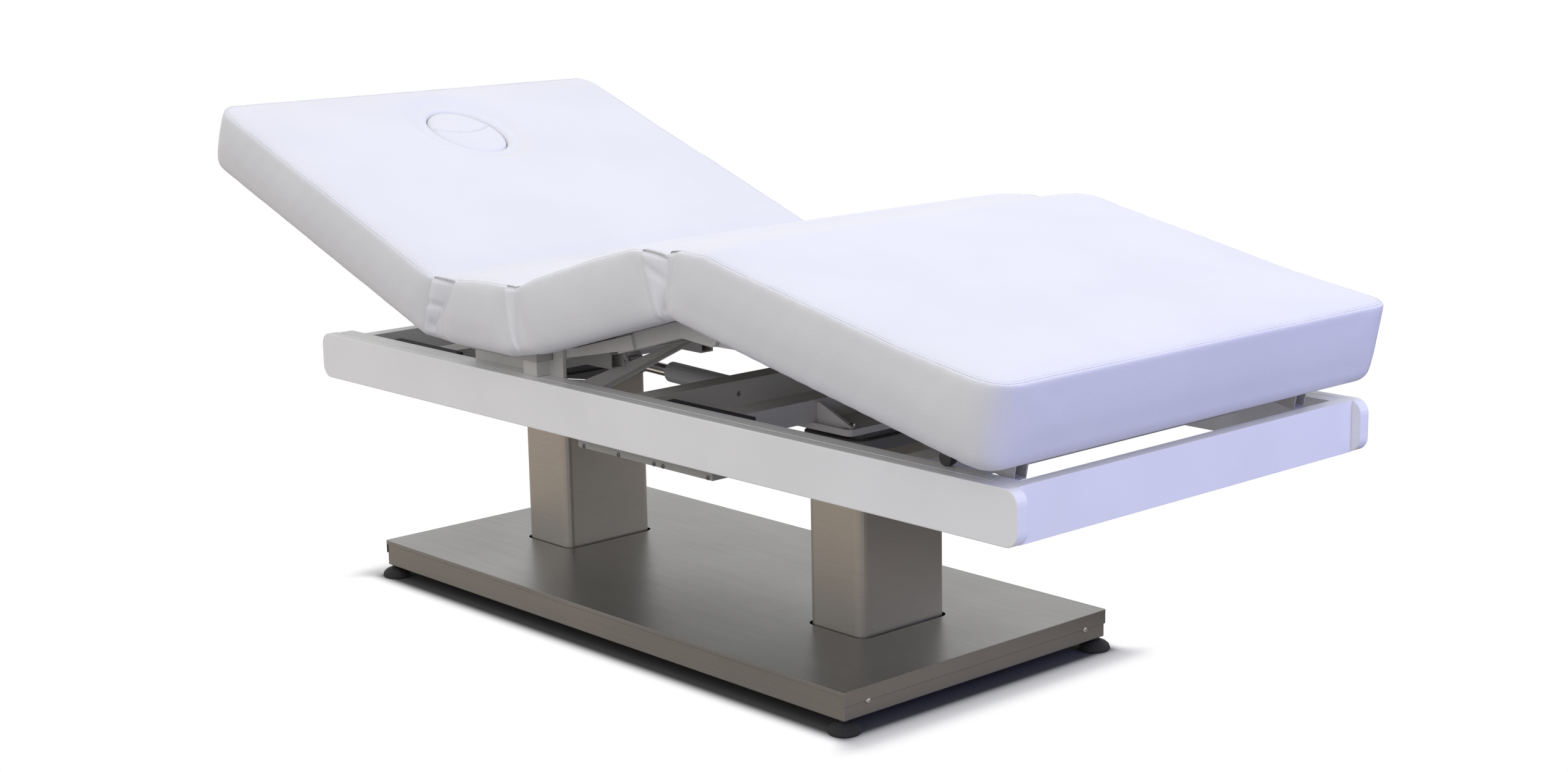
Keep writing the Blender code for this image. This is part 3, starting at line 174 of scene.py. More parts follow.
class Recipe:
    """The node tree of one material or world."""

    def __init__(self, tree: bpy.types.NodeTree) -> None:
        """Start from an empty tree.

        Args:
            tree: The tree to fill.
        """
        self.tree = tree
        tree.nodes.clear()

    def node(self, kind: str, settings: dict[str, Any] | None = None,
             inputs: dict[str | int, Any] | None = None, output: str | int = 0) -> Signal:
        """Add one node.

        Args:
            kind: The node's type.
            settings: Its settings.
            inputs: Values or signals for its sockets.
            output: The output to return.

        Returns:
            The chosen output.
        """
        made = self.tree.nodes.new(kind)
        for name, value in (settings or {}).items():
            setattr(made, name, value)
        for key, value in (inputs or {}).items():
            socket = made.inputs[key]
            if isinstance(value, Signal):
                self.tree.links.new(value.socket, socket)
            elif isinstance(value, tuple) and len(value) == 3 and socket.type == "RGBA":
                socket.default_value = (*value, 1.0)
            else:
                socket.default_value = value
        return Signal(self, made.outputs[output])

    def end(self, kind: str, shader: Signal) -> None:
        """Add the output node.

        Args:
            kind: The output node's type.
            shader: The shader that it shows.
        """
        made = self.tree.nodes.new(kind)
        self.tree.links.new(shader.socket, made.inputs["Surface"])

    def place(self) -> Signal:
        """Return the point in the piece's own frame."""
        return self.node("ShaderNodeTexCoord", output="Object")

    def split(self, vector: Signal) -> tuple[Signal, Signal, Signal]:
        """Split a vector into its three values."""
        first = self.node("ShaderNodeSeparateXYZ", inputs={0: vector})
        outputs = first.socket.node.outputs
        return Signal(self, outputs[0]), Signal(self, outputs[1]), Signal(self, outputs[2])

    def stretched(self, scale: Point | float) -> Signal:
        """Return the piece's own point, scaled evenly or along each axis."""
        each = scale if isinstance(scale, tuple) else (scale,) * 3
        return self.node("ShaderNodeVectorMath", {"operation": "MULTIPLY"}, {0: self.place(), 1: each})

    def noise(self, scale: Point | float, detail: float = 3.0, rough: float = 0.5) -> Signal:
        """Return noise from 0 to 1.

        Args:
            scale: Waves per metre, evenly or along each axis.
            detail: The number of finer layers.
            rough: The strength of the finer layers.

        Returns:
            The noise value.
        """
        return self.node("ShaderNodeTexNoise", {}, {
            "Vector": self.stretched(scale), "Scale": 1.0, "Detail": detail, "Roughness": rough})

    def cells(self, scale: Point) -> Signal:
        """Return the distance to the nearest cell centre, for pebbled grain."""
        return self.node("ShaderNodeTexVoronoi", {"feature": "F1"}, {
            "Vector": self.stretched(scale), "Scale": 1.0}, "Distance")

    def mixed(self, factor: Signal, first: Colour | Signal, second: Colour | Signal) -> Signal:
        """Mix two colours.

        Args:
            factor: 0 for the first colour and 1 for the second.
            first: The first colour.
            second: The second colour.

        Returns:
            The mixed colour.
        """
        made = self.tree.nodes.new("ShaderNodeMix")
        made.data_type = "RGBA"
        for index, value in ((0, factor), (6, first), (7, second)):
            if isinstance(value, Signal):
                self.tree.links.new(value.socket, made.inputs[index])
            else:
                made.inputs[index].default_value = (*value, 1.0)
        return Signal(self, made.outputs[2])

    def bump(self, height: Signal, strength: float, distance: float, edge: float = 0.0) -> Signal:
        """Return a normal that follows a height.

        Args:
            height: The height.
            strength: How strongly it shows.
            distance: The depth of a height of 1.
            edge: The radius that sharp edges seem to be worn to, or 0.

        Returns:
            The normal.
        """
        values: dict[str, Any] = {"Height": height, "Strength": strength, "Distance": distance}
        if edge:
            values["Normal"] = self.node("ShaderNodeBevel", {"samples": 4}, {"Radius": edge})
        return self.node("ShaderNodeBump", {}, values)


def surface(name: str, fill: Callable[[Recipe], dict[str, Any]]) -> bpy.types.Material:
    """Make a material with one Principled shader.

    Args:
        name: The material's name.
        fill: Returns the values and signals of the shader's sockets.

    Returns:
        The material, made once for each name.
    """
    made = bpy.data.materials.get(name)
    if made is not None:
        return made
    made = bpy.data.materials.new(name)
    made.use_nodes = True
    recipe = Recipe(made.node_tree)
    shader = recipe.node("ShaderNodeBsdfPrincipled", {}, fill(recipe))
    recipe.end("ShaderNodeOutputMaterial", shader)
    return made


def toned(colour: Colour, factor: float, lift: float = 0.0) -> Colour:
    """Return a colour times a factor plus a lift, at most 1 in each channel."""
    return tuple(min(1.0, channel * factor + lift) for channel in colour)


@dataclass(frozen=True)
class Coat:
    """A finish: its name and what fills its shader."""

    name: str

    def material(self) -> bpy.types.Material:
        """Return the material."""
        return surface(self.name, self._fill)

    def _fill(self, recipe: Recipe) -> dict[str, Any]:
        """Return the values and signals of the shader's sockets."""
        raise NotImplementedError


@dataclass(frozen=True)
class Leather(Coat):
    """Faux leather: a fine pebbled grain with a soft sheen."""

    colour: Colour = (0.81, 0.81, 0.82)
    shade: Colour = (0.785, 0.785, 0.80)
    roughness: float = 0.42
    grain: float = 420.0
    depth: float = 0.50
    upright_grain: float = 1.7
    patches: float = 5.0
    creases: Point = (110.0, 110.0, 260.0)
    relief: float = 0.4 * MM
    specular: float = 0.45

    def _fill(self, recipe: Recipe) -> dict[str, Any]:
        """Return the shader's sockets."""
        broad = recipe.noise(self.patches, 2.0)
        pebbles = recipe.cells((self.grain, self.grain, self.grain * self.upright_grain))
        creases = recipe.noise(self.creases, 4.0, 0.62)
        return {
            "Base Color": recipe.mixed(broad.ramped(0.35, 0.7), self.colour, self.shade),
            "Roughness": broad * 0.06 + pebbles * 0.10 + (self.roughness - 0.08),
            "Normal": recipe.bump(pebbles * 0.6 + creases * 0.8, self.depth, self.relief),
            "Specular IOR Level": self.specular,
        }


@dataclass(frozen=True)
class Paint(Coat):
    """Powder coat with a slight orange peel."""

    colour: Colour
    roughness: float = 0.36
    metallic: float = 0.0
    peel: float = 0.12
    soil: float = 0.06
    patches: float = 7.0
    dimples: float = 420.0
    relief: float = 0.1 * MM
    worn: float = 1.0 * MM

    def _fill(self, recipe: Recipe) -> dict[str, Any]:
        """Return the shader's sockets."""
        broad = recipe.noise(self.patches, 3.0)
        soiled = toned(self.colour, 1 - self.soil)
        return {
            "Base Color": recipe.mixed(broad.ramped(0.35, 0.75), self.colour, soiled),
            "Roughness": broad * 0.08 + (self.roughness - 0.04),
            "Metallic": self.metallic,
            "Normal": recipe.bump(recipe.noise(self.dimples, 2.0), self.peel, self.relief, edge=self.worn),
        }


@dataclass(frozen=True)
class BrushedSteel(Coat):
    """Brushed stainless steel with streaks along one axis."""

    colour: Colour
    along: Point
    roughness: float = 0.34
    metallic: float = 1.0
    patches: float = 4.0
    shade: float = 0.84
    depth: float = 0.10
    relief: float = 0.1 * MM
    worn: float = 1.6 * MM

    def _fill(self, recipe: Recipe) -> dict[str, Any]:
        """Return the shader's sockets."""
        streaks = recipe.noise(self.along, 4.0, 0.65)
        clouds = recipe.noise(self.patches, 2.0)
        tone = (streaks * 0.6 + clouds * 0.4).ramped(0.3, 0.7)
        return {
            "Base Color": recipe.mixed(tone, self.colour, toned(self.colour, self.shade)),
            "Roughness": streaks * 0.16 + clouds * 0.06 + (self.roughness - 0.10),
            "Metallic": self.metallic,
            "Normal": recipe.bump(streaks, self.depth, self.relief, edge=self.worn),
        }


@dataclass(frozen=True)
class Plastic(Coat):
    """Moulded plastic or rubber with a fine texture."""

    colour: Colour
    roughness: float = 0.5
    texture: float = 500.0
    patches: float = 15.0
    light: tuple[float, float] = (1.35, 0.01)
    depth: float = 0.2
    relief: float = 0.15 * MM

    def _fill(self, recipe: Recipe) -> dict[str, Any]:
        """Return the shader's sockets."""
        fine = recipe.noise(self.texture, 3.0)
        broad = recipe.noise(self.patches, 2.0)
        return {
            "Base Color": recipe.mixed(broad.ramped(0.4, 0.75), self.colour, toned(self.colour, *self.light)),
            "Roughness": fine * 0.12 + (self.roughness - 0.06),
            "Normal": recipe.bump(fine, self.depth, self.relief),
        }


@dataclass(frozen=True)
class Plated(Coat):
    """Plated or turned metal for screws, pins and rods."""

    colour: Colour = (0.62, 0.62, 0.63)
    roughness: float = 0.25
    marks: float = 300.0
    shade: float = 0.8

    def _fill(self, recipe: Recipe) -> dict[str, Any]:
        """Return the shader's sockets."""
        marks = recipe.noise(self.marks, 3.0)
        return {
            "Base Color": recipe.mixed(marks.ramped(0.4, 0.7), self.colour, toned(self.colour, self.shade)),
            "Roughness": marks * 0.12 + (self.roughness - 0.06),
            "Metallic": 1.0,
        }


@dataclass(frozen=True)
class Plywood(Coat):
    """Dark stained plywood under the cushions."""

    colour: Colour = (0.10, 0.085, 0.07)
    grain: Point = (6.0, 90.0, 90.0)
    light: float = 1.7
    depth: float = 0.15
    relief: float = 0.3 * MM

    def _fill(self, recipe: Recipe) -> dict[str, Any]:
        """Return the shader's sockets."""
        grain = recipe.noise(self.grain, 5.0, 0.6)
        return {
            "Base Color": recipe.mixed(grain.ramped(0.35, 0.7), self.colour, toned(self.colour, self.light)),
            "Roughness": grain * 0.2 + 0.55,
            "Normal": recipe.bump(grain, self.depth, self.relief),
        }


@dataclass(frozen=True)
class TwoTone(Coat):
    """Grey paint with dark plastic past an edge across the table: a drive's motor, an arm's glide."""

    grey: Colour
    dark: Colour
    edge: float
    side: int
    texture: float = 400.0
    depth: float = 0.15
    relief: float = 0.1 * MM

    def _fill(self, recipe: Recipe) -> dict[str, Any]:
        """Return the shader's sockets."""
        across = recipe.split(recipe.place())[1]
        mask = ((across - self.edge) * self.side).above(0.0)
        fine = recipe.noise(self.texture, 3.0)
        return {
            "Base Color": recipe.mixed(mask, self.grey, self.dark),
            "Roughness": fine * 0.12 + 0.38,
            "Normal": recipe.bump(fine, self.depth, self.relief),
        }


class Finish(Enum):
    """The finishes of the table."""

    COVER = Leather("cover_leather")
    # A lighter, glossier copy of the cover leather for the folds' turned-in faces: its lighter colour is a
    # painted highlight.
    FOLD_HIGHLIGHT = Leather("fold_leather_highlight", (0.88, 0.88, 0.90), (0.85, 0.85, 0.88), 0.27, depth=0.16)
    THREAD = Plastic("seam_thread", (0.74, 0.74, 0.79), 0.6, 900.0)
    # Dark beads in the needle holes: painted shade.
    NEEDLE_HOLE_SHADE = Plastic("needle_hole_shade", (0.42, 0.41, 0.44), 0.8, 900.0)
    RAIL = Paint("rail_paint", (0.95, 0.95, 0.945), 0.30, soil=0.04)
    FRAME = Paint("frame_paint", (0.62, 0.61, 0.59), 0.42)
    COLUMN = BrushedSteel("column_steel", (0.48, 0.455, 0.42), (40.0, 40.0, 1500.0), 0.38, 0.86)
    BASE = BrushedSteel("base_steel", (0.30, 0.295, 0.287), (6.0, 900.0, 900.0), 0.34, 0.92)
    PLATE = Paint("dark_steel", (0.05, 0.05, 0.055), 0.45, 0.2)
    GREY_PLASTIC = Plastic("grey_plastic", (0.15, 0.15, 0.15), 0.5)
    RUBBER = Plastic("black_rubber", (0.008, 0.008, 0.008), 0.72)
    BOARD = Plywood("stained_board")
    CHROME = Plated("rod_chrome", (0.75, 0.75, 0.76), 0.14)
    SCREW = Plated("zinc_screw")
    DARK_SCREW = Plated("dark_screw", (0.16, 0.16, 0.17), 0.35)
    BOX = Paint("box_paint", (0.36, 0.355, 0.33), 0.45, soil=0.12)
    SEAT_BOARD = Paint("seat_board_paint", (0.42, 0.41, 0.39), 0.55, soil=0.15)
    NEAR_GLIDE = TwoTone("near_glide", (0.62, 0.61, 0.59), (0.03, 0.03, 0.03), -0.315, -1)
    FAR_GLIDE = TwoTone("far_glide", (0.62, 0.61, 0.59), (0.03, 0.03, 0.03), 0.315, 1)
    BACK_DRIVE = TwoTone("back_drive", (0.55, 0.55, 0.55), (0.03, 0.03, 0.03), 0.0225, 1)
    KNEE_DRIVE = TwoTone("knee_drive", (0.55, 0.55, 0.55), (0.03, 0.03, 0.03), -0.1925, -1)

    def material(self) -> bpy.types.Material:
        """Return the finish's material."""
        return self.value.material()


SLOT_FINISHES = {
    "white_leather": Finish.COVER,
    "silver_paint": Finish.RAIL,
    "grey_paint": Finish.FRAME,
    "satin_silver": Finish.COLUMN,
    "brushed_steel": Finish.BASE,
    "dark_steel": Finish.PLATE,
    "grey_plastic": Finish.GREY_PLASTIC,
    "black_rubber": Finish.RUBBER,
    "dark_board": Finish.BOARD,
    "chrome": Finish.CHROME,
}


# Shapes


def linked(name: str, data: bpy.types.ID) -> bpy.types.Object:
    """Return a new object that shows some data in the scene."""
    made = bpy.data.objects.new(name, data)
    bpy.context.scene.collection.objects.link(made)
    return made


def new_object(name: str, mesh: bpy.types.Mesh, finish: Finish) -> bpy.types.Object:
    """Link a mesh as an object with one finish.

    Args:
        name: The object's name.
        mesh: Its mesh.
        finish: Its finish.

    Returns:
        The object.
    """
    mesh.materials.clear()
    mesh.materials.append(finish.material())
    mesh.shade_smooth()
    return linked(name, mesh)


def mesh_from(name: str, points: Sequence[Iterable[float]],
              faces: Sequence[Sequence[int]]) -> bpy.types.Mesh:
    """Make a mesh with outward faces.

    Args:
        name: The mesh's name.
        points: Its vertices.
        faces: Its faces as vertex numbers.

    Returns:
        The mesh.
    """
    mesh = bpy.data.meshes.new(name)
    mesh.from_pydata([tuple(point) for point in points], [], [tuple(face) for face in faces])
    work = bmesh.new()
    work.from_mesh(mesh)
    bmesh.ops.recalc_face_normals(work, faces=work.faces)
    work.to_mesh(mesh)
    work.free()
    return mesh


def evaluated(piece: bpy.types.Object) -> bpy.types.Mesh:
    """Return a new mesh with the object's modifiers applied."""
    graph = bpy.context.evaluated_depsgraph_get()
    return bpy.data.meshes.new_from_object(piece.evaluated_get(graph))


def bake_modifiers(piece: bpy.types.Object) -> None:
    """Apply every modifier of an object to its mesh."""
    mesh = evaluated(piece)
    piece.modifiers.clear()
    old = piece.data
    piece.data = mesh
    bpy.data.meshes.remove(old)


def read_points(mesh: bpy.types.Mesh) -> np.ndarray:
    """Return a mesh's vertices as rows."""
    flat = np.empty(len(mesh.vertices) * 3)
    mesh.vertices.foreach_get("co", flat)
    return flat.reshape(-1, 3)


def write_points(mesh: bpy.types.Mesh, points: np.ndarray) -> None:
    """Set a mesh's vertices from rows."""
    mesh.vertices.foreach_set("co", points.ravel())
    mesh.update()
def tree_of(mesh: bpy.types.Mesh, matrix: Matrix | None = None) -> BVHTree:
    """Return a search tree of a mesh, moved by a matrix if one is given."""
    work = bmesh.new()
    work.from_mesh(mesh)
    if matrix is not None:
        work.transform(matrix)
    tree = BVHTree.FromBMesh(work)
    work.free()
    return tree


def ring_faces(rings: int, steps: int, first: int = 0, hollow: bool = False) -> list[list[int]]:
    """Return the faces between rings of points.

    Args:
        rings: The number of rings.
        steps: The number of points in each ring.
        first: The number of the first point.
        hollow: Whether the last ring joins the first, in place of two caps.

    Returns:
        The faces by ring and place, then the caps.
    """
    faces = []
    for ring in range(rings if hollow else rings - 1):
        lower, upper = first + ring * steps, first + (ring + 1) % rings * steps
        for step in range(steps):
            after = (step + 1) % steps
            faces.append([lower + step, lower + after, upper + after, upper + step])
    if not hollow:
        last = first + (rings - 1) * steps
        faces.append(list(range(first, first + steps))[::-1])
        faces.append(list(range(last, last + steps)))
    return faces

def smooth_step(low: float, high: float, value: np.ndarray) -> np.ndarray:
    """Return 0 below low, 1 above high and a smooth rise between."""
    share = np.clip((value - low) / (high - low), 0.0, 1.0)
    return share * share * (3 - 2 * share)


@dataclass(frozen=True)
class Axis:
    """A hinge axis along Y, and the tilt of what hangs on it in the photograph's pose."""

    x: float = 0.0
    z: float = 0.0
    tilt: float = 0.0

    def matrix(self) -> Matrix:
        """Return the matrix from the section's flat frame to the world."""
        return Matrix.Translation((self.x, 0.0, self.z)) @ Matrix.Rotation(math.radians(self.tilt), 4, "Y")

    def world(self, point: Iterable[float]) -> Vector:
        """Return the world place of a point of the flat frame."""
        return self.matrix() @ Vector(point)

    def flat_rows(self, points: np.ndarray) -> np.ndarray:
        """Return rows of world points in the flat frame."""
        inverse = np.array(self.matrix().inverted())
        return points @ inverse[:3, :3].T + inverse[:3, 3]

    def world_rows(self, points: np.ndarray) -> np.ndarray:
        """Return rows of flat points in the world."""
        forward = np.array(self.matrix())
        return points @ forward[:3, :3].T + forward[:3, 3]


BASE_X = -0.0539
SEAT_AXIS = Axis()
BACK_AXIS = Axis(BASE_X - 0.205, 0.534, 19.61)
THIGH_AXIS = Axis(BASE_X, 0.539, -16.02)
KNEE_AXIS = Axis(0.2961, 0.5390, 11.53)
SHARP_ANGLE = 40


def turned_solid(name: str, profile: Sequence[tuple[float, float]], finish: Finish, place: Point,
                 axis: Point, steps: int) -> bpy.types.Object:
    """Make a solid of revolution.

    Args:
        name: The object's name.
        profile: (radius, height) from the bottom to the top.
        finish: Its finish.
        place: The world place of height 0 on its axis.
        axis: The direction of its height.
        steps: Corners round the axis.

    Returns:
        The object.
    """
    turn = Vector((0, 0, 1)).rotation_difference(Vector(axis).normalized())
    points: list[Vector] = []
    for radius, height in profile:
        for step in range(steps):
            angle = 2 * math.pi * step / steps
            corner = Vector((radius * math.cos(angle), radius * math.sin(angle), height))
            points.append(Vector(place) + turn @ corner)
    mesh = mesh_from(name, points, ring_faces(len(profile), steps))
    made = new_object(name, mesh, finish)
    mesh.set_sharp_from_angle(angle=math.radians(SHARP_ANGLE))
    return made


def joined(name: str, pieces: Sequence[bpy.types.Object]) -> bpy.types.Object:
    """Join objects that share a finish into one.

    Args:
        name: The name of the joined object.
        pieces: The objects, which are removed.

    Returns:
        The joined object.
    """
    work = bmesh.new()
    for piece in pieces:
        work.from_mesh(piece.data)
    mesh = bpy.data.meshes.new(name)
    work.to_mesh(mesh)
    work.free()
    mesh.materials.append(pieces[0].data.materials[0])
    for piece in pieces:
        old = piece.data
        bpy.data.objects.remove(piece, do_unlink=True)
        bpy.data.meshes.remove(old)
    return linked(name, mesh)


# Upholstery


Line = Sequence[tuple[float, float]]
Spot = tuple[Vector, Vector]
Run = Sequence[Spot]

COVER_FILL = 0.85
PLUG_FILL = 0.9
SEARCH = 0.06
CLOTH = {
    "mass": 0.3, "tension_stiffness": 15, "compression_stiffness": 15, "shear_stiffness": 5,
    "bending_stiffness": 0.5, "use_pressure": True}
WELT = ((-1.0, -0.8), (-0.8, 0.25), (-0.5, 0.55), (-0.2, 0.75), (0.15, 1.2),
        (0.4, 1.25), (0.65, 0.8), (0.85, 0.2), (1.0, -0.8), (0.0, -2.5))
BEAD = ((-0.5, 0.45, -0.5), (-0.3, 1.0, 0.2), (0.3, 1.0, 0.2), (0.5, 0.45, -0.5))
BEAD_CORNERS = 6


def along_line(line: Line, value: np.ndarray | float) -> np.ndarray:
    """Return the second value of a line of pairs at a first value."""
    return np.interp(value, [pair[0] for pair in line], [pair[1] for pair in line])


@dataclass(frozen=True)
class Pucker:
    """A dent in the side of the cover, at a world X and Z."""

    x: float
    z: float
    reach: float
    width: float
    turn: float
    depth: float

    def dent(self, points: np.ndarray) -> np.ndarray:
        """Return how deep the dent is at each world point."""
        angle = math.radians(self.turn)
        dx, dz = points[:, 0] - self.x, points[:, 2] - self.z
        along = (dx * math.cos(angle) + dz * math.sin(angle)) / self.reach
        across = (dz * math.cos(angle) - dx * math.sin(angle)) / self.width
        return self.depth * np.exp(-along ** 2 - across ** 2)


@dataclass
class Swelling:
    """How a foam block is blown up by cloth simulation."""

    voxel: float = 6 * MM
    pressure: float = 4.0
    frames: int = 20
    quality: int = 3
    cap: float = 5 * MM
    even_share: float = 0.55

    def swell(self, piece: bpy.types.Object) -> np.ndarray:
        """Remesh a block and return how each of its points moves under pressure.

        Args:
            piece: The block, which is left remeshed and unmoved.

        Returns:
            One row of movement for each point.
        """
        remesh = piece.modifiers.new("even", "REMESH")
        remesh.mode = "VOXEL"
        remesh.voxel_size = self.voxel
        bake_modifiers(piece)
        start = read_points(piece.data)
        normals = np.empty(len(start) * 3)
        piece.data.vertices.foreach_get("normal", normals)
        even = normals.reshape(-1, 3) * self.cap
        cloth = piece.modifiers.new("swell", "CLOTH")
        settings = cloth.settings
        for name, value in CLOTH.items():
            setattr(settings, name, value)
        settings.quality = self.quality
        settings.uniform_pressure_force = self.pressure
        settings.effector_weights.gravity = 0.0
        cloth.collision_settings.use_self_collision = False
        cloth.point_cache.frame_start = 1
        cloth.point_cache.frame_end = self.frames
        scene = bpy.context.scene
        for frame in range(1, self.frames + 1):
            scene.frame_set(frame)
        moved = evaluated(piece)
        finish = read_points(moved)
        bpy.data.meshes.remove(moved)
        piece.modifiers.clear()
        scene.frame_set(1)
        return self.limited(finish - start) * (1 - self.even_share) + even * self.even_share

    def limited(self, movement: np.ndarray) -> np.ndarray:
        """Soften movement so that no point goes further than the cap."""
        length = np.linalg.norm(movement, axis=1)
        wanted = self.cap * (1 - np.exp(-length / self.cap))
        return movement * (wanted / np.maximum(length, 1e-9))[:, None]


@dataclass
class Section:
    """One upholstered section: its cover, seam and stitches.

    The seam gives the flat height of the sewn edge along the section.
    """

    name: str
    node: str
    body: str
    axis: Axis
    low: float
    high: float
    bottom: float
    top: float
    seam: Line
    half_width: float = 0.400
    round_end: int = 0
    corner: float = 0.032
    corner_steps: int = 12
    edge_radius: float = 10 * MM
    crown: float = 6 * MM
    crown_power: int = 11
    crown_end: float = 0.16
    end_rise: float = 0.0
    end_reach: float = 0.20
    hinge_dip: float = 4 * MM
    hinge_reach: float = 0.04
    bulge: float = 2.5 * MM
    waves: Sequence[tuple[float, float, float, float]] = (
        (61, 40, 0.0, 0.5), (137, -90, 1.3, 0.3), (23, 0, 2.1, 0.6))
    wave_height: float = 0.5 * MM
    groove: float = 1.2 * MM
    groove_reach: float = 5 * MM
    seam_margin: float = 6 * MM
    still: float = 0.1
    rows: tuple[int, ...] = (-1, 1)
    turned_in: tuple[float, float, float] = (0.0, 0.0, 0.0)
    swelling: Swelling = field(default_factory=Swelling)
    tree: BVHTree | None = None

    def start_at(self, height: np.ndarray | float) -> np.ndarray | float:
        """Return where the cover starts at a flat height: here the same at every height."""
        return self.low

    def make_cover(self) -> None:
        """Blow up the section's block and give it its leather."""
        source = bpy.data.objects[self.node]
        block = new_object(f"{self.name}_cover", source.data.copy(), Finish.COVER)
        block.data.transform(source.matrix_world)
        movement = self.swelling.limited(self.swelling.swell(block))
        flat = self.axis.flat_rows(read_points(block.data))
        turned = np.array(self.axis.matrix().to_3x3())
        flat = self.shaped(flat + (movement @ turned) * self.swell_share(flat)[:, None])
        write_points(block.data, self.axis.world_rows(flat))
        smooth = block.modifiers.new("smooth", "SMOOTH")
        smooth.factor = 0.5
        smooth.iterations = 3
        finer = block.modifiers.new("finer", "SUBSURF")
        finer.levels = 1
        finer.render_levels = 1
        bake_modifiers(block)
        block.data.shade_smooth()
        self.dress(block, COVER_FILL)

    def dress(self, cover: bpy.types.Object, fill: float) -> None:
        """Let the cover ride on its body in the place of its node, and make it searchable."""
        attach(cover, self.body)
        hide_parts(self.node)
        self.tree = tree_of(cover.data)

    def hinge_distances(self, x: np.ndarray) -> list[np.ndarray]:
        """Return each point's distance from every end that meets a fold."""
        ends = [x - self.low] if self.round_end >= 0 else []
        return ends + ([self.high - x] if self.round_end <= 0 else [])

    def inward(self, x: np.ndarray | float) -> np.ndarray | float:
        """Return the distance from the rounded end."""
        return self.high - x if self.round_end > 0 else x - self.low

    def seam_height(self, x: np.ndarray | float) -> np.ndarray | float:
        """Return the flat height of the sewn edge, which rises at the rounded end."""
        height = along_line(self.seam, x)
        if self.round_end:
            height = height + self.end_rise * (1 - smooth_step(0.0, self.end_reach, self.inward(x)))
        return height

    def swell_share(self, flat: np.ndarray) -> np.ndarray:
        """Return how much of the swelling each point keeps: little at the hinge ends and below."""
        share = np.ones(len(flat))
        for distance in self.hinge_distances(flat[:, 0]):
            share *= smooth_step(0.0, 0.05, distance) * (1 - self.still) + self.still
        upper = smooth_step(self.bottom + 0.01, self.bottom + 0.05, flat[:, 2])
        return share * (self.still + (1 - self.still) * upper)

    def shaped(self, flat: np.ndarray) -> np.ndarray:
        """Bring the sewn edge to its height, crown the top and round the sides.

        Args:
            flat: The cover's points in the flat frame.

        Returns:
            The moved points.
        """
        moved = flat.copy()
        x, y, z = flat[:, 0], flat[:, 1], flat[:, 2]
        seam = self.seam_height(x)
        edge = self.top - self.edge_radius
        dome = 1 - np.clip(np.abs(y) / self.half_width, 0, 1) ** self.crown_power
        if self.round_end:
            dome *= 1 - (1 - np.clip(self.inward(x) / self.crown_end, 0, 1)) ** 4
        hinge = np.zeros(len(x))
        for distance in self.hinge_distances(x):
            hinge = np.maximum(hinge, 1 - smooth_step(0.0, self.hinge_reach, distance))
        over = smooth_step(edge, self.top - 1 * MM, z)
        side_rise = (seam - edge) * smooth_step(self.bottom + 20 * MM, edge, z)
        top_rise = seam + self.crown * dome - self.hinge_dip * hinge * dome - self.top
        moved[:, 2] += side_rise * (1 - over) + top_rise * over
        side = np.sign(y) * smooth_step(self.half_width - 20 * MM, self.half_width - 6 * MM, np.abs(y))
        height = np.clip((moved[:, 2] - self.bottom) / (seam - self.bottom), 0, 1)
        waves = sum(size * np.sin(x * along + z * up + start) for along, up, start, size in self.waves)
        round_side = self.bulge * np.sin(math.pi * height) + waves * self.wave_height
        sewn = np.exp(-((moved[:, 2] - seam) / self.groove_reach) ** 2)
        moved[:, 1] += side * (1 - hinge) * round_side
        moved[:, 1] -= side * self.groove * sewn
        upper, lower, depth = self.turned_in
        if depth:
            reach = lower + (upper - lower) * height
            inside = np.clip(1 - (self.high - x) / reach, 0, 1)
            moved[:, 1] -= side * depth * (1 - np.sqrt(1 - 0.98 * inside ** 2)) * (0.5 + 0.5 * height)
        return moved

    def seam_path(self, step: float = 5 * MM) -> list[Spot]:
        """Return the seam line before it is laid on the cover.

        Args:
            step: The distance between its points.

        Returns:
            Flat points on the edge, each with its way outward.
        """
        sign, half, corner = self.round_end, self.half_width, self.corner
        low = self.low + (self.seam_margin if sign >= 0 else 0.0)
        high = self.high - (self.seam_margin if sign <= 0 else 0.0)
        start = low + (corner if sign < 0 else 0.0)
        end = high - (corner if sign > 0 else 0.0)
        count = max(2, int((high - low) / step))
        path = [(start + (end - start) * index / count, -half, 0.0, -1.0) for index in range(count + 1)]
        if sign < 0:
            path.reverse()
        if sign:
            edge = high if sign > 0 else low
            for index in range(1, self.corner_steps):
                angle = math.radians(90 * index / self.corner_steps)
                out_x, out_y = math.sin(angle), math.cos(angle)
                path.append((edge - sign * corner * (1 - out_x), -half + corner * (1 - out_y),
                             sign * out_x, -out_y))
            far = [(x, -y, out_x, -out_y) for x, y, out_x, out_y in reversed(path)]
            width = 2 * (half - corner)
            turn = int(width / step)
            path += [(edge, corner - half + width * index / turn, sign, 0.0) for index in range(turn + 1)]
            path += far
        return [(Vector((x, y, float(self.seam_height(x)))), Vector((out_x, out_y, 0.0)).normalized())
                for x, y, out_x, out_y in path]

    def hit(self, point: Iterable[float], way: Iterable[float]) -> Spot | None:
        """Return where the cover is met from outside, in the world.

        Args:
            point: A flat point near the cover.
            way: The flat way outward.

        Returns:
            The place and its normal, or None.
        """
        turned = (self.axis.matrix().to_3x3() @ Vector(way)).normalized()
        start = self.axis.world(point) + turned * SEARCH
        place, normal, _, _ = self.tree.ray_cast(start, -turned, 2 * SEARCH)
        return None if place is None else (place, normal)

    def seam_runs(self) -> list[list[Spot]]:
        """Return the seam as runs laid on the cover: points and surface normals in the world."""
        paths = [self.seam_path()]
        if not self.round_end:
            paths.append([(Vector((point.x, -point.y, point.z)), Vector((way.x, -way.y, way.z)))
                          for point, way in paths[0]])
        found = [[self.hit(point, outward) for point, outward in path] for path in paths]
        return [[place for place in run if place is not None] for run in found]

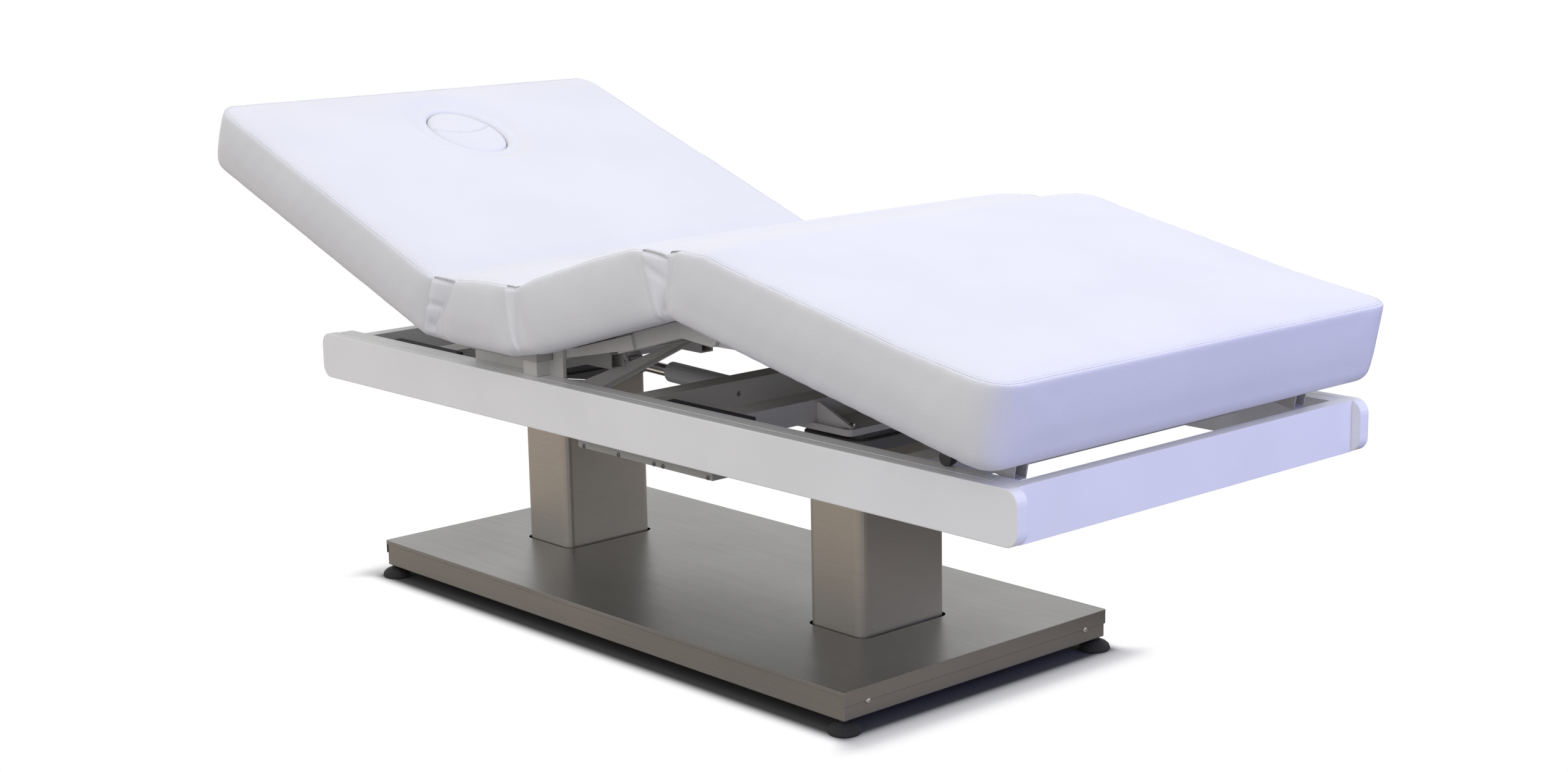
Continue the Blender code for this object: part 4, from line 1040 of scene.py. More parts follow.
    def make_seam(self) -> None:
        """Sew the seam and its stitches onto the cover."""
        runs = self.seam_runs()
        seam = Seam(self.axis.matrix().to_3x3() @ Vector((0, 0, 1)), self.rows)
        for piece in (seam.ribbon(f"{self.name}_seam", runs), seam.stitches(f"{self.name}_stitches", runs),
                      seam.holes(f"{self.name}_needle_holes", runs)):
            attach(piece, self.body)


@dataclass
class Seam:
    """A topstitched seam: a low welt with stitches, and dark beads between them that paint the shade in the
    needle holes.
    """

    up: Vector
    rows: tuple[int, ...] = (-1, 1)
    half: float = 3.0 * MM
    rise: float = 0.45 * MM
    pitch: float = 4.3 * MM
    stitch_length: float = 3.1 * MM
    stitch_radius: float = 0.36 * MM
    hole_length: float = 1.5 * MM
    hole_radius: float = 0.42 * MM
    row_offset: float = 1.9 * MM
    stitch_lift: float = 0.55
    hole_slant: float = 0.3
    hole_flat: float = 0.6

    def frame_at(self, run: Run, index: int) -> tuple[Vector, Vector, Vector]:
        """Return the seam's direction, its way across and the surface normal at a point."""
        before = run[max(index - 1, 0)][0]
        after = run[min(index + 1, len(run) - 1)][0]
        along = (after - before).normalized()
        normal = run[index][1].copy()
        normal = (normal - along * normal.dot(along)).normalized()
        across = normal.cross(along)
        if across.dot(self.up) < 0:
            across = -across
        return along, across, normal

    def ribbon(self, name: str, runs: Sequence[Run]) -> bpy.types.Object:
        """Make the welt.

        Args:
            name: The object's name.
            runs: The seam's runs.

        Returns:
            The welt, sunk into the cover at its edges.
        """
        points: list[Vector] = []
        faces: list[list[int]] = []
        for run in runs:
            faces += ring_faces(len(run), len(WELT), len(points))
            for index, (place, _) in enumerate(run):
                _, across, normal = self.frame_at(run, index)
                points += [place + across * (side * self.half) + normal * (height * self.rise)
                           for side, height in WELT]
        return new_object(name, mesh_from(name, points, faces), Finish.COVER)

    def places(self, runs: Sequence[Run], start: float) -> Iterable[tuple[Vector, Vector, Vector, Vector]]:
        """Walk along the rows of stitches.

        Args:
            runs: The seam's runs.
            start: The first place as a share of the pitch.

        Yields:
            The centre, the direction, the way across and the normal of each place.
        """
        for run in runs:
            for row in self.rows:
                distance = 0.0
                due = self.pitch * start
                for index in range(len(run) - 1):
                    begin, end = run[index][0], run[index + 1][0]
                    length = (end - begin).length
                    while due <= distance + length:
                        share = (due - distance) / length
                        along, across, normal = self.frame_at(run, index)
                        centre = begin.lerp(end, share) + across * (row * self.row_offset)
                        yield centre + normal * (self.rise * self.stitch_lift), along, across, normal
                        due += self.pitch
                    distance += length

    def stitches(self, name: str, runs: Sequence[Run]) -> bpy.types.Object:
        """Make the stitches of every row as one object."""
        radius = self.stitch_radius
        return self._beads(name, Finish.THREAD, (
            (centre, along * self.stitch_length, across * radius, normal * radius)
            for centre, along, across, normal in self.places(runs, 0.5)))

    def holes(self, name: str, runs: Sequence[Run]) -> bpy.types.Object:
        """Make dark beads between the stitches as one object: painted shade in the needle holes."""
        length, radius = self.hole_length, self.hole_radius
        return self._beads(name, Finish.NEEDLE_HOLE_SHADE, (
            (centre, across * length + along * (self.hole_slant * length), along * radius,
             normal * (radius * self.hole_flat))
            for centre, along, across, normal in self.places(runs, 1.0)))

    @staticmethod
    def _beads(name: str, finish: Finish,
               beads: Iterable[tuple[Vector, Vector, Vector, Vector]]) -> bpy.types.Object:
        """Make short beads with tapered ends as one object.

        Args:
            name: The object's name.
            finish: Its finish.
            beads: The centre, length, width and height of each bead, as vectors.

        Returns:
            The beads.
        """
        points: list[Vector] = []
        faces: list[list[int]] = []
        angles = [2 * math.pi * corner / BEAD_CORNERS for corner in range(BEAD_CORNERS)]
        for centre, along, across, normal in beads:
            faces += ring_faces(len(BEAD), BEAD_CORNERS, len(points))
            for place, width, height in BEAD:
                points += [centre + along * place + across * (math.cos(angle) * width)
                           + normal * (math.sin(angle) * width + height) for angle in angles]
        return new_object(name, mesh_from(name, points, faces), finish)


@dataclass
class SeatSection(Section):
    """The seat section, whose head edge leans back over the fold."""

    lean_foot: tuple[float, float] = (0.483, -0.2709)
    lean_head: tuple[float, float] = (0.579, -0.1996)
    hinge_height: float = 0.534
    block_lean: float = 0.037
    block_rise: float = 0.0465
    lean_reach: float = 0.06

    def start_at(self, height: np.ndarray | float) -> np.ndarray | float:
        """Return where the cover starts at a height: the block's end, or further in on the lean."""
        slope = (self.lean_head[1] - self.lean_foot[1]) / (self.lean_head[0] - self.lean_foot[0])
        return np.maximum(self.low, self.lean_foot[1] + (height - self.lean_foot[0]) * slope)

    def shaped(self, flat: np.ndarray) -> np.ndarray:
        """Move the head edge onto its lean, then shape the cover."""
        risen = np.clip((flat[:, 2] - self.hinge_height) / self.block_rise, 0, 1)
        block = self.low + self.block_lean * risen
        near = 1 - smooth_step(0.0, self.lean_reach, flat[:, 0] - block)
        leaned = flat.copy()
        leaned[:, 0] += (self.start_at(flat[:, 2]) - block) * near
        return super().shaped(leaned)


@dataclass
class FaceHole:
    """The oval face hole of the back section and its plug."""

    distance: float = 0.517
    length: float = 0.200
    width: float = 0.156
    plug_distance: float = 0.514
    plug_length: float = 0.176
    plug_width: float = 0.128
    dimple: float = 4.5 * MM
    dimple_end: float = 1.5

    def radius_share(self, flat: np.ndarray) -> np.ndarray:
        """Return each point's distance from the hole's middle, 1 at the hole's edge."""
        return np.hypot((flat[:, 0] + self.distance) / (self.length / 2), flat[:, 1] / (self.width / 2))


@dataclass
class BackSection(Section):
    """The back section, with its face hole."""

    hole: FaceHole = field(default_factory=FaceHole)

    def swell_share(self, flat: np.ndarray) -> np.ndarray:
        """Return the swelling that each point keeps, with almost none at the face hole."""
        share = super().swell_share(flat)
        return share * (0.02 + 0.98 * smooth_step(1.0, 1.35, self.hole.radius_share(flat)))

    def shaped(self, flat: np.ndarray) -> np.ndarray:
        """Shape the cover, with a shallow dimple round the face hole."""
        near = 1 - smooth_step(1.0, self.hole.dimple_end, self.hole.radius_share(flat))
        near *= smooth_step(self.top - 30 * MM, self.top - 5 * MM, flat[:, 2])
        moved = super().shaped(flat)
        moved[:, 2] = moved[:, 2] * (1 - near) + (flat[:, 2] - self.hole.dimple) * near
        return moved


@dataclass
class Plug(Section):
    """The oval plug that closes the face hole.

    The profiles give each ring's depth below the top and its inset from the plug's edge, in mm.
    """

    hole: FaceHole = field(default_factory=FaceHole)
    crowned: Line = ((13.0, 0.0), (9.0, 1.2), (6.0, 4.0), (4.2, 9.0), (3.0, 18.0), (1.8, 32.0),
                     (1.2, 46.0), (1.0, 58.0))
    lip: Line = ((30.0, 0.0), (10.0, 0.0), (6.8, -1.0), (4.2, -3.5), (2.6, -7.5), (1.8, -12.5),
                 (2.4, -19.0), (4.4, -28.0), (6.2, -31.0), (30.0, -15.0))
    gap: float = 0.8 * MM
    steps: int = 72
    seam_steps: int = 40
    seam_shift: float = 20 * MM
    seam_bow: float = 30 * MM

    def make_cover(self) -> None:
        """Make the plug as a soft oval with a rolled edge."""
        name = f"{self.name}_cover"
        rings = [(self.bottom, 30 * MM), (self.bottom, 6 * MM), (self.bottom + 4 * MM, 0.0)]
        rings += self._below_top(self.crowned)
        cover = new_object(name, self._oval(name, rings, self.gap), Finish.COVER)
        self.dress(cover, PLUG_FILL)
        self._make_lip()

    def _below_top(self, profile: Line) -> list[tuple[float, float]]:
        """Return a profile as flat heights and insets in metres."""
        return [(self.top - depth * MM, inset * MM) for depth, inset in profile]

    def _oval(self, name: str, rings: Sequence[tuple[float, float]], gap: float,
              hollow: bool = False) -> bpy.types.Mesh:
        """Make a mesh of oval rings round the plug's middle.

        Args:
            name: The mesh's name.
            rings: (flat height, inset from the plug's edge) of each ring.
            gap: A further inset of every ring.
            hollow: Whether the last ring joins the first, in place of two caps.

        Returns:
            The mesh.
        """
        half_length, half_width = self.hole.plug_length / 2 - gap, self.hole.plug_width / 2 - gap
        angles = [2 * math.pi * step / self.steps for step in range(self.steps)]
        points = [self.axis.world((-self.hole.plug_distance + (half_length - inset) * math.cos(angle),
                                   (half_width - inset) * math.sin(angle), height))
                  for height, inset in rings for angle in angles]
        return mesh_from(name, points, ring_faces(len(rings), self.steps, hollow=hollow))

    def _make_lip(self) -> None:
        """Make the rolled leather lip of the back section round the plug."""
        rings = self._below_top(self.lip)
        lip = new_object("face_hole_lip", self._oval("face_hole_lip", rings, 0.0, hollow=True), Finish.COVER)
        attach(lip, "back")

    def seam_runs(self) -> list[list[Spot]]:
        """Return the curved seam across the plug."""
        middle = -self.hole.plug_distance - self.seam_shift
        reach = self.hole.plug_width / 2 - self.seam_margin
        run = []
        for index in range(self.seam_steps + 1):
            share = index / self.seam_steps * 2 - 1
            x = middle + self.seam_bow * (1 - share * share)
            found = self.hit((x, share * reach, self.top), (0, 0, 1))
            if found is not None:
                run.append(found)
        return [run]


@dataclass
class Fold:
    """The folded cover between two sections.

    Its end rings lie on the two covers. Between them the sides turn in and meet the second
    section in a sharp crease. Both lines give a world X for each world Z.
    """

    name: str
    bodies: tuple[str, str]
    first: Section
    second: Section
    start: Point
    end: Point
    turn: Line
    crease: Line
    depth: float
    dip: float
    valley: float = 4 * MM
    puckers: Sequence[Pucker] = ()
    overlap: float = 9 * MM
    sink: float = 1.6 * MM
    proud: float = 0.55 * MM
    heights: int = 22
    strip: tuple[float, ...] = (0.0, 0.12, 0.25, 0.38, 0.5, 0.62, 0.73, 0.82, 0.9, 0.96, 1.0)
    leads: tuple[float, ...] = (0.35, 0.7)
    rests: tuple[float, ...] = (0.35, 0.75)
    back_out: Line = ((0.4, 0.60), (1.0, 0.28), (2.0, 0.10), (3.5, 0.03), (6.0, 0.0))
    tops: tuple[float, ...] = (0.985, 0.965, 0.94, 0.91, 0.87, 0.82, 0.76, 0.68, 0.58, 0.45, 0.3, 0.15, 0.0)
    bottoms: tuple[float, ...] = (0.96, 0.88, 0.6, 0.3, 0.0)
    turn_margin: float = 4 * MM
    crease_margin: float = 8 * MM
    dip_power: int = 14
    sunk_power: int = 10
    stitch_gap: float = 2.5 * MM

    @property
    def top_count(self) -> int:
        """Return the number of a ring's points over the top."""
        return 2 * len(self.tops) - 1

    def ring(self, section: Section, first: bool) -> list[Vector]:
        """Lay a ring round the end of a section's cover.

        Args:
            section: The section.
            first: Whether it is the fold's first section, which is met at its far end.

        Returns:
            World points: up the near side, over the top, down the far side and back below.
        """
        half = section.half_width

        def end_x(height: float) -> float:
            return section.high - self.overlap if first else float(section.start_at(height)) + self.overlap

        def laid(point: Point, way: Point) -> Vector:
            found = section.hit(point, way)
            return section.axis.world(point) if found is None else found[0]

        seam = float(section.seam_height(end_x(section.top)))
        low = section.bottom + 10 * MM
        sides = [low + (seam - low) * index / (self.heights - 1) for index in range(self.heights)]
        top_ys = [-share * half for share in self.tops] + [share * half for share in self.tops[-2::-1]]
        bottom_ys = [share * half for share in self.bottoms]
        bottom_ys += [-share * half for share in self.bottoms[-2::-1]]
        top_x, low_x = end_x(section.top), end_x(section.bottom)
        return ([laid((end_x(z), -half, z), (0, -1, 0)) for z in sides]
                + [laid((top_x, y, section.top), (0, 0, 1)) for y in top_ys]
                + [laid((end_x(z), half, z), (0, 1, 0)) for z in sides[::-1]]
                + [laid((low_x, y, section.bottom), (0, 0, -1)) for y in bottom_ys])

    def columns(self) -> list[tuple[str, float, float]]:
        """Return the fold's columns as (zone, place in the zone, share of the pull)."""
        made = [("end", 0.0, 0.0)] + [("lead", place, 0.0) for place in self.leads]
        made += [("strip", u, 0.3 * u + 0.7 * (1 - math.sqrt(1 - u * u))) for u in self.strip]
        made += [("back", offset * MM, share) for offset, share in self.back_out]
        return made + [("rest", place, 0.0) for place in self.rests] + [("end", 1.0, 0.0)]

    def level(self, index: int) -> int:
        """Return which height of the sides a ring's point has: the last on top and 0 below."""
        if index < self.heights + self.top_count:
            return min(index, self.heights - 1)
        return max(0, 2 * self.heights + self.top_count - 1 - index)

    def bends(self, a: Vector, b: Vector) -> tuple[float, float]:
        """Return where the turn and the crease lie between two side points, as shares of the way."""
        z = (a.z + b.z) / 2
        span = max(b.x - a.x, 1 * MM)
        crease = max((float(along_line(self.crease, z)) - a.x) / span, 0.25)
        crease = min(crease, 1 - self.crease_margin / span)
        turn = max((float(along_line(self.turn, z)) - a.x) / span, self.turn_margin / span)
        return min(turn, crease * 0.85), crease

    def spot(self, index: int, ends: tuple[Vector, Vector], bends: tuple[float, float],
             column: tuple[str, float, float]) -> Vector:
        """Return one point of the fold.

        Args:
            index: Its place in the ring.
            ends: The points of both rings at that place.
            bends: The turn and the crease at that place.
            column: Its column, as columns gives it.

        Returns:
            The world place.
        """
        a, b = ends
        turn, crease = bends
        zone, place, pull = column
        span = max(b.x - a.x, 1 * MM)
        rest = crease + self.back_out[-1][0] * MM / span
        share = {"end": place, "lead": turn * place, "strip": turn + (crease - turn) * place,
                 "back": crease + place / span, "rest": rest + (1 - rest) * place}[zone]
        spot = a.lerp(b, share)
        half = self.first.half_width
        beside = min(abs(spot.y) / half, 1.0)
        on_top = self.heights <= index < self.heights + self.top_count
        below = index >= 2 * self.heights + self.top_count
        if not below:
            weight = beside ** self.dip_power
            fallen = self.valley * (1 - weight) * on_top + self.dip * weight
            spot.z -= fallen * pull * (self.level(index) / (self.heights - 1)) ** 2
        sink = self.sink if zone == "end" else -self.proud
        sunk = max(0.0, self.depth - (half - abs(spot.y))) * pull * beside ** self.sunk_power
        if below or on_top:
            spot.z += sink if below else -sink
        if abs(spot.y) > 1e-6:
            spot.y -= math.copysign(sunk + sink, spot.y)
        return spot

    def build(self) -> None:
        """Make the fold as a closed piece between its sections."""
        ring_a, ring_b = self.ring(self.first, True), self.ring(self.second, False)
        columns, count = self.columns(), len(ring_a)
        points = np.zeros((len(columns), count, 3))
        for index, ends in enumerate(zip(ring_a, ring_b)):
            level = self.level(index)
            bends = self.bends(ring_a[level], ring_b[level])
            for number, column in enumerate(columns):
                points[number, index] = self.spot(index, ends, bends, column)
        flat = points.reshape(-1, 3)
        on_side = smooth_step(0.93, 0.97, np.abs(flat[:, 1]) / self.first.half_width)
        for pucker in self.puckers:
            flat[:, 1] -= np.sign(flat[:, 1]) * on_side * pucker.dent(flat)
        faces = ring_faces(len(columns), count)
        piece = new_object(self.name, mesh_from(self.name, flat, faces), Finish.COVER)
        # The turned-in faces of the strip on both sides get the lighter fold leather: a painted highlight.
        piece.data.materials.append(Finish.FOLD_HIGHLIGHT.material())
        strip_start = 1 + len(self.leads)
        strip_end = strip_start + len(self.strip)
        far_side = self.heights + self.top_count
        for face in piece.data.polygons:
            column, index = divmod(face.index, count)
            beside = index < self.heights or far_side - 1 <= index < far_side + self.heights
            painted_highlight = strip_start <= column < strip_end and beside and len(face.vertices) == 4
            face.material_index = 1 if painted_highlight else 0
        self._blend(piece)
        self.make_seam(piece, points)

    def _blend(self, piece: bpy.types.Object) -> None:
        """Bake a piece's transform into its mesh."""
        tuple(self.start)
        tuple(self.end)
        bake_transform(piece)

    def make_seam(self, piece: bpy.types.Object, points: np.ndarray) -> None:
        """Sew the seams of both sections together through the fold.

        Args:
            piece: The fold.
            points: The fold's points by column and place in the ring.
        """
        tree = tree_of(piece.data)
        runs = []
        for index, way in ((self.heights - 1, -1.0), (self.heights + self.top_count, 1.0)):
            run: list[Spot] = []
            for column in range(1, len(points) - 1):
                place = Vector(points[column, index])
                if not run or (place - run[-1][0]).length > self.stitch_gap:
                    normal = tree.find_nearest(place)[1]
                    run.append((place, (normal + Vector((0.0, way, 0.3))).normalized()))
            runs.append(run)
        seam = Seam(Vector((0, 0, 1)), self.second.rows, half=1.8 * MM, rise=0.25 * MM, row_offset=1.1 * MM)
        self._blend(seam.stitches(f"{self.name}_stitches", runs))


class Upholstery:
    """The four padded sections, the face plug and the folds between them."""

    def __init__(self) -> None:
        """Set the sections' sizes, in the flat frames of their hinge axes."""
        self.seat = SeatSection(
            "seat", "seat_cushion", "frame", SEAT_AXIS, -0.2449, -0.0679, 0.4735, 0.5805,
            ((-0.1988, 0.5788), (-0.155, 0.5835), (-0.112, 0.5850), (-0.0521, 0.5830)), rows=(-1,),
            turned_in=(8 * MM, 1 * MM, 3 * MM))
        self.back = BackSection(
            "back", "back_cushion", "back", BACK_AXIS, -0.693, -0.014, -0.0675, 0.0425,
            ((-0.693, 0.0400), (-0.665, 0.0395), (-0.466, 0.0374), (-0.272, 0.0380), (-0.035, 0.0365)),
            round_end=-1, crown=8 * MM, turned_in=(26 * MM, 11 * MM, 6 * MM))
        self.thigh = Section(
            "thigh", "thigh_cushion", "thigh", THIGH_AXIS, 0.014, 0.3334, -0.063, 0.045,
            ((0.014, 0.0415), (0.06, 0.0450), (0.127, 0.0468), (0.221, 0.0485), (0.308, 0.0463),
             (0.334, 0.0400)),
            crown=4.5 * MM, rows=(-1,), turned_in=(6 * MM, 2 * MM, 2 * MM))
        self.leg = Section(
            "leg", "leg_cushion", "leg", KNEE_AXIS, 0.003, 0.616, 0.040, 0.149,
            ((0.003, 0.1380), (0.017, 0.1450), (0.067, 0.1540), (0.108, 0.1525), (0.282, 0.1525),
             (0.430, 0.1515), (0.556, 0.1535), (0.616, 0.1560)),
            half_width=0.406, round_end=1, corner=0.038, crown=6 * MM, end_rise=3 * MM)
        self.plug = Plug("face_plug", "face_plug", "plug", BACK_AXIS, -0.617, -0.417, -0.0175, 0.0425, ())

    def build(self) -> None:
        """Make every cover, seam and fold."""
        for section in (self.seat, self.back, self.thigh, self.leg, self.plug):
            section.make_cover()
            section.make_seam()
            log.info("%s: cover, seam and stitches", section.name)
        for fold in self.folds():
            fold.build()
            log.info("%s: fold and seam", fold.name)

    def folds(self) -> list[Fold]:
        """Return the folds at the three hinges."""
        return [
            Fold("back_fold", ("back", "frame"), self.back, self.seat,
                 start=(-0.268, 0.0, 0.54), end=(-0.235, 0.0, 0.54),
                 turn=((0.48, -0.30), (0.60, -0.30)),
                 crease=((0.4718, -0.2720), (0.4985, -0.2645), (0.5303, -0.2417), (0.5570, -0.2179),
                         (0.5791, -0.1996)),
                 depth=24 * MM, dip=18 * MM,
                 puckers=(Pucker(-0.262, 0.533, 0.020, 0.0045, -8.0, 5 * MM),
                          Pucker(-0.279, 0.500, 0.008, 0.010, 0.0, 7 * MM))),
            Fold("thigh_fold", ("frame", "thigh"), self.seat, self.thigh,
                 start=(-0.066, 0.0, 0.54), end=(-0.040, 0.0, 0.54),
                 turn=((0.4831, -0.0510), (0.5137, -0.0636), (0.5502, -0.0704), (0.5775, -0.0763)),
                 crease=((0.4740, -0.0400), (0.4809, -0.0425), (0.5104, -0.0500), (0.5526, -0.0500),
                         (0.5832, -0.0495)),
                 depth=15 * MM, dip=4 * MM),
            Fold("knee_fold", ("thigh", "leg"), self.thigh, self.leg,
                 start=(0.262, 0.0, 0.63), end=(0.320, 0.0, 0.63),
                 turn=((0.5768, 0.2900), (0.5997, 0.2802), (0.6328, 0.2682), (0.6660, 0.2563)),
                 crease=((0.5754, 0.2938), (0.5882, 0.2931), (0.6157, 0.3076), (0.6380, 0.3150),
                         (0.6488, 0.3143), (0.6700, 0.3140)),
                 depth=20 * MM, dip=24 * MM,
                 puckers=(Pucker(0.303, 0.592, 0.007, 0.011, 20.0, 5 * MM),
                          Pucker(0.283, 0.640, 0.024, 0.0045, -28.0, 4 * MM))),
        ]


# Frame


@dataclass
class FrameFinishes:
    """The finishes of the solid pieces that are kept from the frame."""

    frame: dict[str, Any]
    own_finishes: dict[str, Finish] = field(default_factory=lambda: {
        "back_actuator": Finish.BACK_DRIVE, "knee_actuator": Finish.KNEE_DRIVE,
        "control_box": Finish.BOX, "seat_board": Finish.SEAT_BOARD,
        "leg_arm_near": Finish.NEAR_GLIDE, "leg_arm_far": Finish.FAR_GLIDE})

    def apply(self) -> None:
        """Give every solid piece the finish of its material slot."""
        for part in self.frame["record"]["subparts"]:
            node = self.frame["nodes"][part["node"]]
            finish = self.own_finishes.get(part["node"], SLOT_FINISHES[part["material_slot"]])
            node.data.materials.clear()
            node.data.materials.append(finish.material())
        log.info("frame: %d solid pieces finished", len(self.frame["nodes"]))


# Fasteners


@dataclass(frozen=True)
class Head:
    """The shape of a screw or bolt head."""

    radius: float
    height: float
    socket: float
    steps: int = 20

    def profile(self) -> list[tuple[float, float]]:
        """Return (radius, height) from the seat, over the crown and down into the socket."""
        return [(self.radius, -0.3 * MM), (self.radius, self.height * 0.35),
                (self.radius * 0.92, self.height * 0.70), (self.radius * 0.74, self.height * 0.92),
                (self.socket, self.height), (self.socket, self.height * 0.45)]

    def make(self, name: str, place: Point, axis: Point, finish: Finish) -> bpy.types.Object:
        """Return a head that stands at a place.

        Args:
            name: The object's name.
            place: The middle of its seat.
            axis: The way it points.
            finish: Its finish.

        Returns:
            The head.
        """
        return turned_solid(name, self.profile(), finish, place, axis, self.steps)


@dataclass
class Fasteners:
    """The visible screws and bolts of the base, the control box and the columns."""

    frame: dict[str, Any]
    lip_screw: Head = field(default_factory=lambda: Head(4.6 * MM, 2.6 * MM, 1.5 * MM))
    box_screw: Head = field(default_factory=lambda: Head(3.6 * MM, 1.5 * MM, 1.5 * MM))
    plate_bolt: Head = field(default_factory=lambda: Head(8.0 * MM, 5.5 * MM, 3.4 * MM, 6))
    washer: Head = field(default_factory=lambda: Head(11.0 * MM, 1.6 * MM, 5.0 * MM))
    lip_ends: tuple[float, float] = (-0.6261, 0.5183)
    lip_side: float = 0.230
    lip_height: float = 0.041
    box_face: float = -0.352
    box_height: float = 0.3512
    box_places: tuple[float, ...] = (0.0453, 0.1276, 0.2094, 0.2296, 0.3286)
    plate_places: tuple[tuple[str, float], ...] = (("head_top_plate", -0.4114), ("foot_top_plate", 0.3036))
    plate_reach: tuple[float, float] = (0.066, 0.116)
    over_plates: float = 0.6

    def build(self) -> None:
        """Make all fasteners, each group riding on its own body."""
        lips = [self.lip_screw.make("lip", (x, side * self.lip_side, self.lip_height),
                                    (math.copysign(1.0, x), 0.0, 0.0), Finish.SCREW)
                for x in self.lip_ends for side in (-1, 1)]
        self._ride("base_lip_screws", lips, "base", "chrome")
        screws = [self.box_screw.make("box", (x, self.box_face, self.box_height), (0.0, -1.0, 0.0),
                                      Finish.DARK_SCREW) for x in self.box_places]
        self._ride("control_box_screws", screws, "frame", "dark_steel")
        for node, middle in self.plate_places:
            self._ride(f"{node}_bolts", self._plate_bolts(node, middle), self._body(node), "chrome")
        log.info("fasteners: screws and bolts")

    def _body(self, node: str) -> str:
        """Return the body that a node belongs to."""
        bodies = self.frame["record"]["behaviour"]["bodies"]
        return next(body for body, nodes in bodies.items() if node in nodes)

    def _plate_bolts(self, node: str, middle: float) -> list[bpy.types.Object]:
        """Stand a washer and a bolt on each corner of a column's top plate."""
        plate = self.frame["nodes"][node]
        tree = tree_of(plate.data, plate.matrix_world)
        made = []
        reach_x, reach_y = self.plate_reach
        for x in (middle - reach_x, middle + reach_x):
            for y in (-reach_y, reach_y):
                place = tree.ray_cast(Vector((x, y, self.over_plates)), Vector((0, 0, -1)))[0]
                if place is not None:
                    made.append(self.washer.make("washer", tuple(place), (0, 0, 1), Finish.SCREW))
                    made.append(self.plate_bolt.make("bolt", (x, y, place.z + self.washer.height * 0.5),
                                                     (0, 0, 1), Finish.SCREW))
        return made

    @staticmethod
    def _ride(name: str, pieces: Sequence[bpy.types.Object], body: str, slot: str) -> None:
        """Join a group of heads and let it ride on a body."""
        if pieces:
            group = joined(name, pieces)
            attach(group, body)


# Studio


@dataclass(frozen=True)
class Lamp:
    """A square area lamp: its place, what it points at, its side, watts and colour."""

    name: str
    place: Point
    target: Point
    size: float
    power: float
    colour: Colour

    def hang(self) -> None:
        """Add the lamp, which reflections leave out."""
        data = bpy.data.lights.new(self.name, "AREA")
        data.shape = "SQUARE"
        data.size = self.size
        data.energy = self.power
        data.color = self.colour
        lamp = linked(self.name, data)
        lamp.visible_glossy = False
        lamp.location = self.place
        way = Vector(self.target) - Vector(self.place)
        lamp.rotation_euler = way.to_track_quat("-Z", "Y").to_euler()


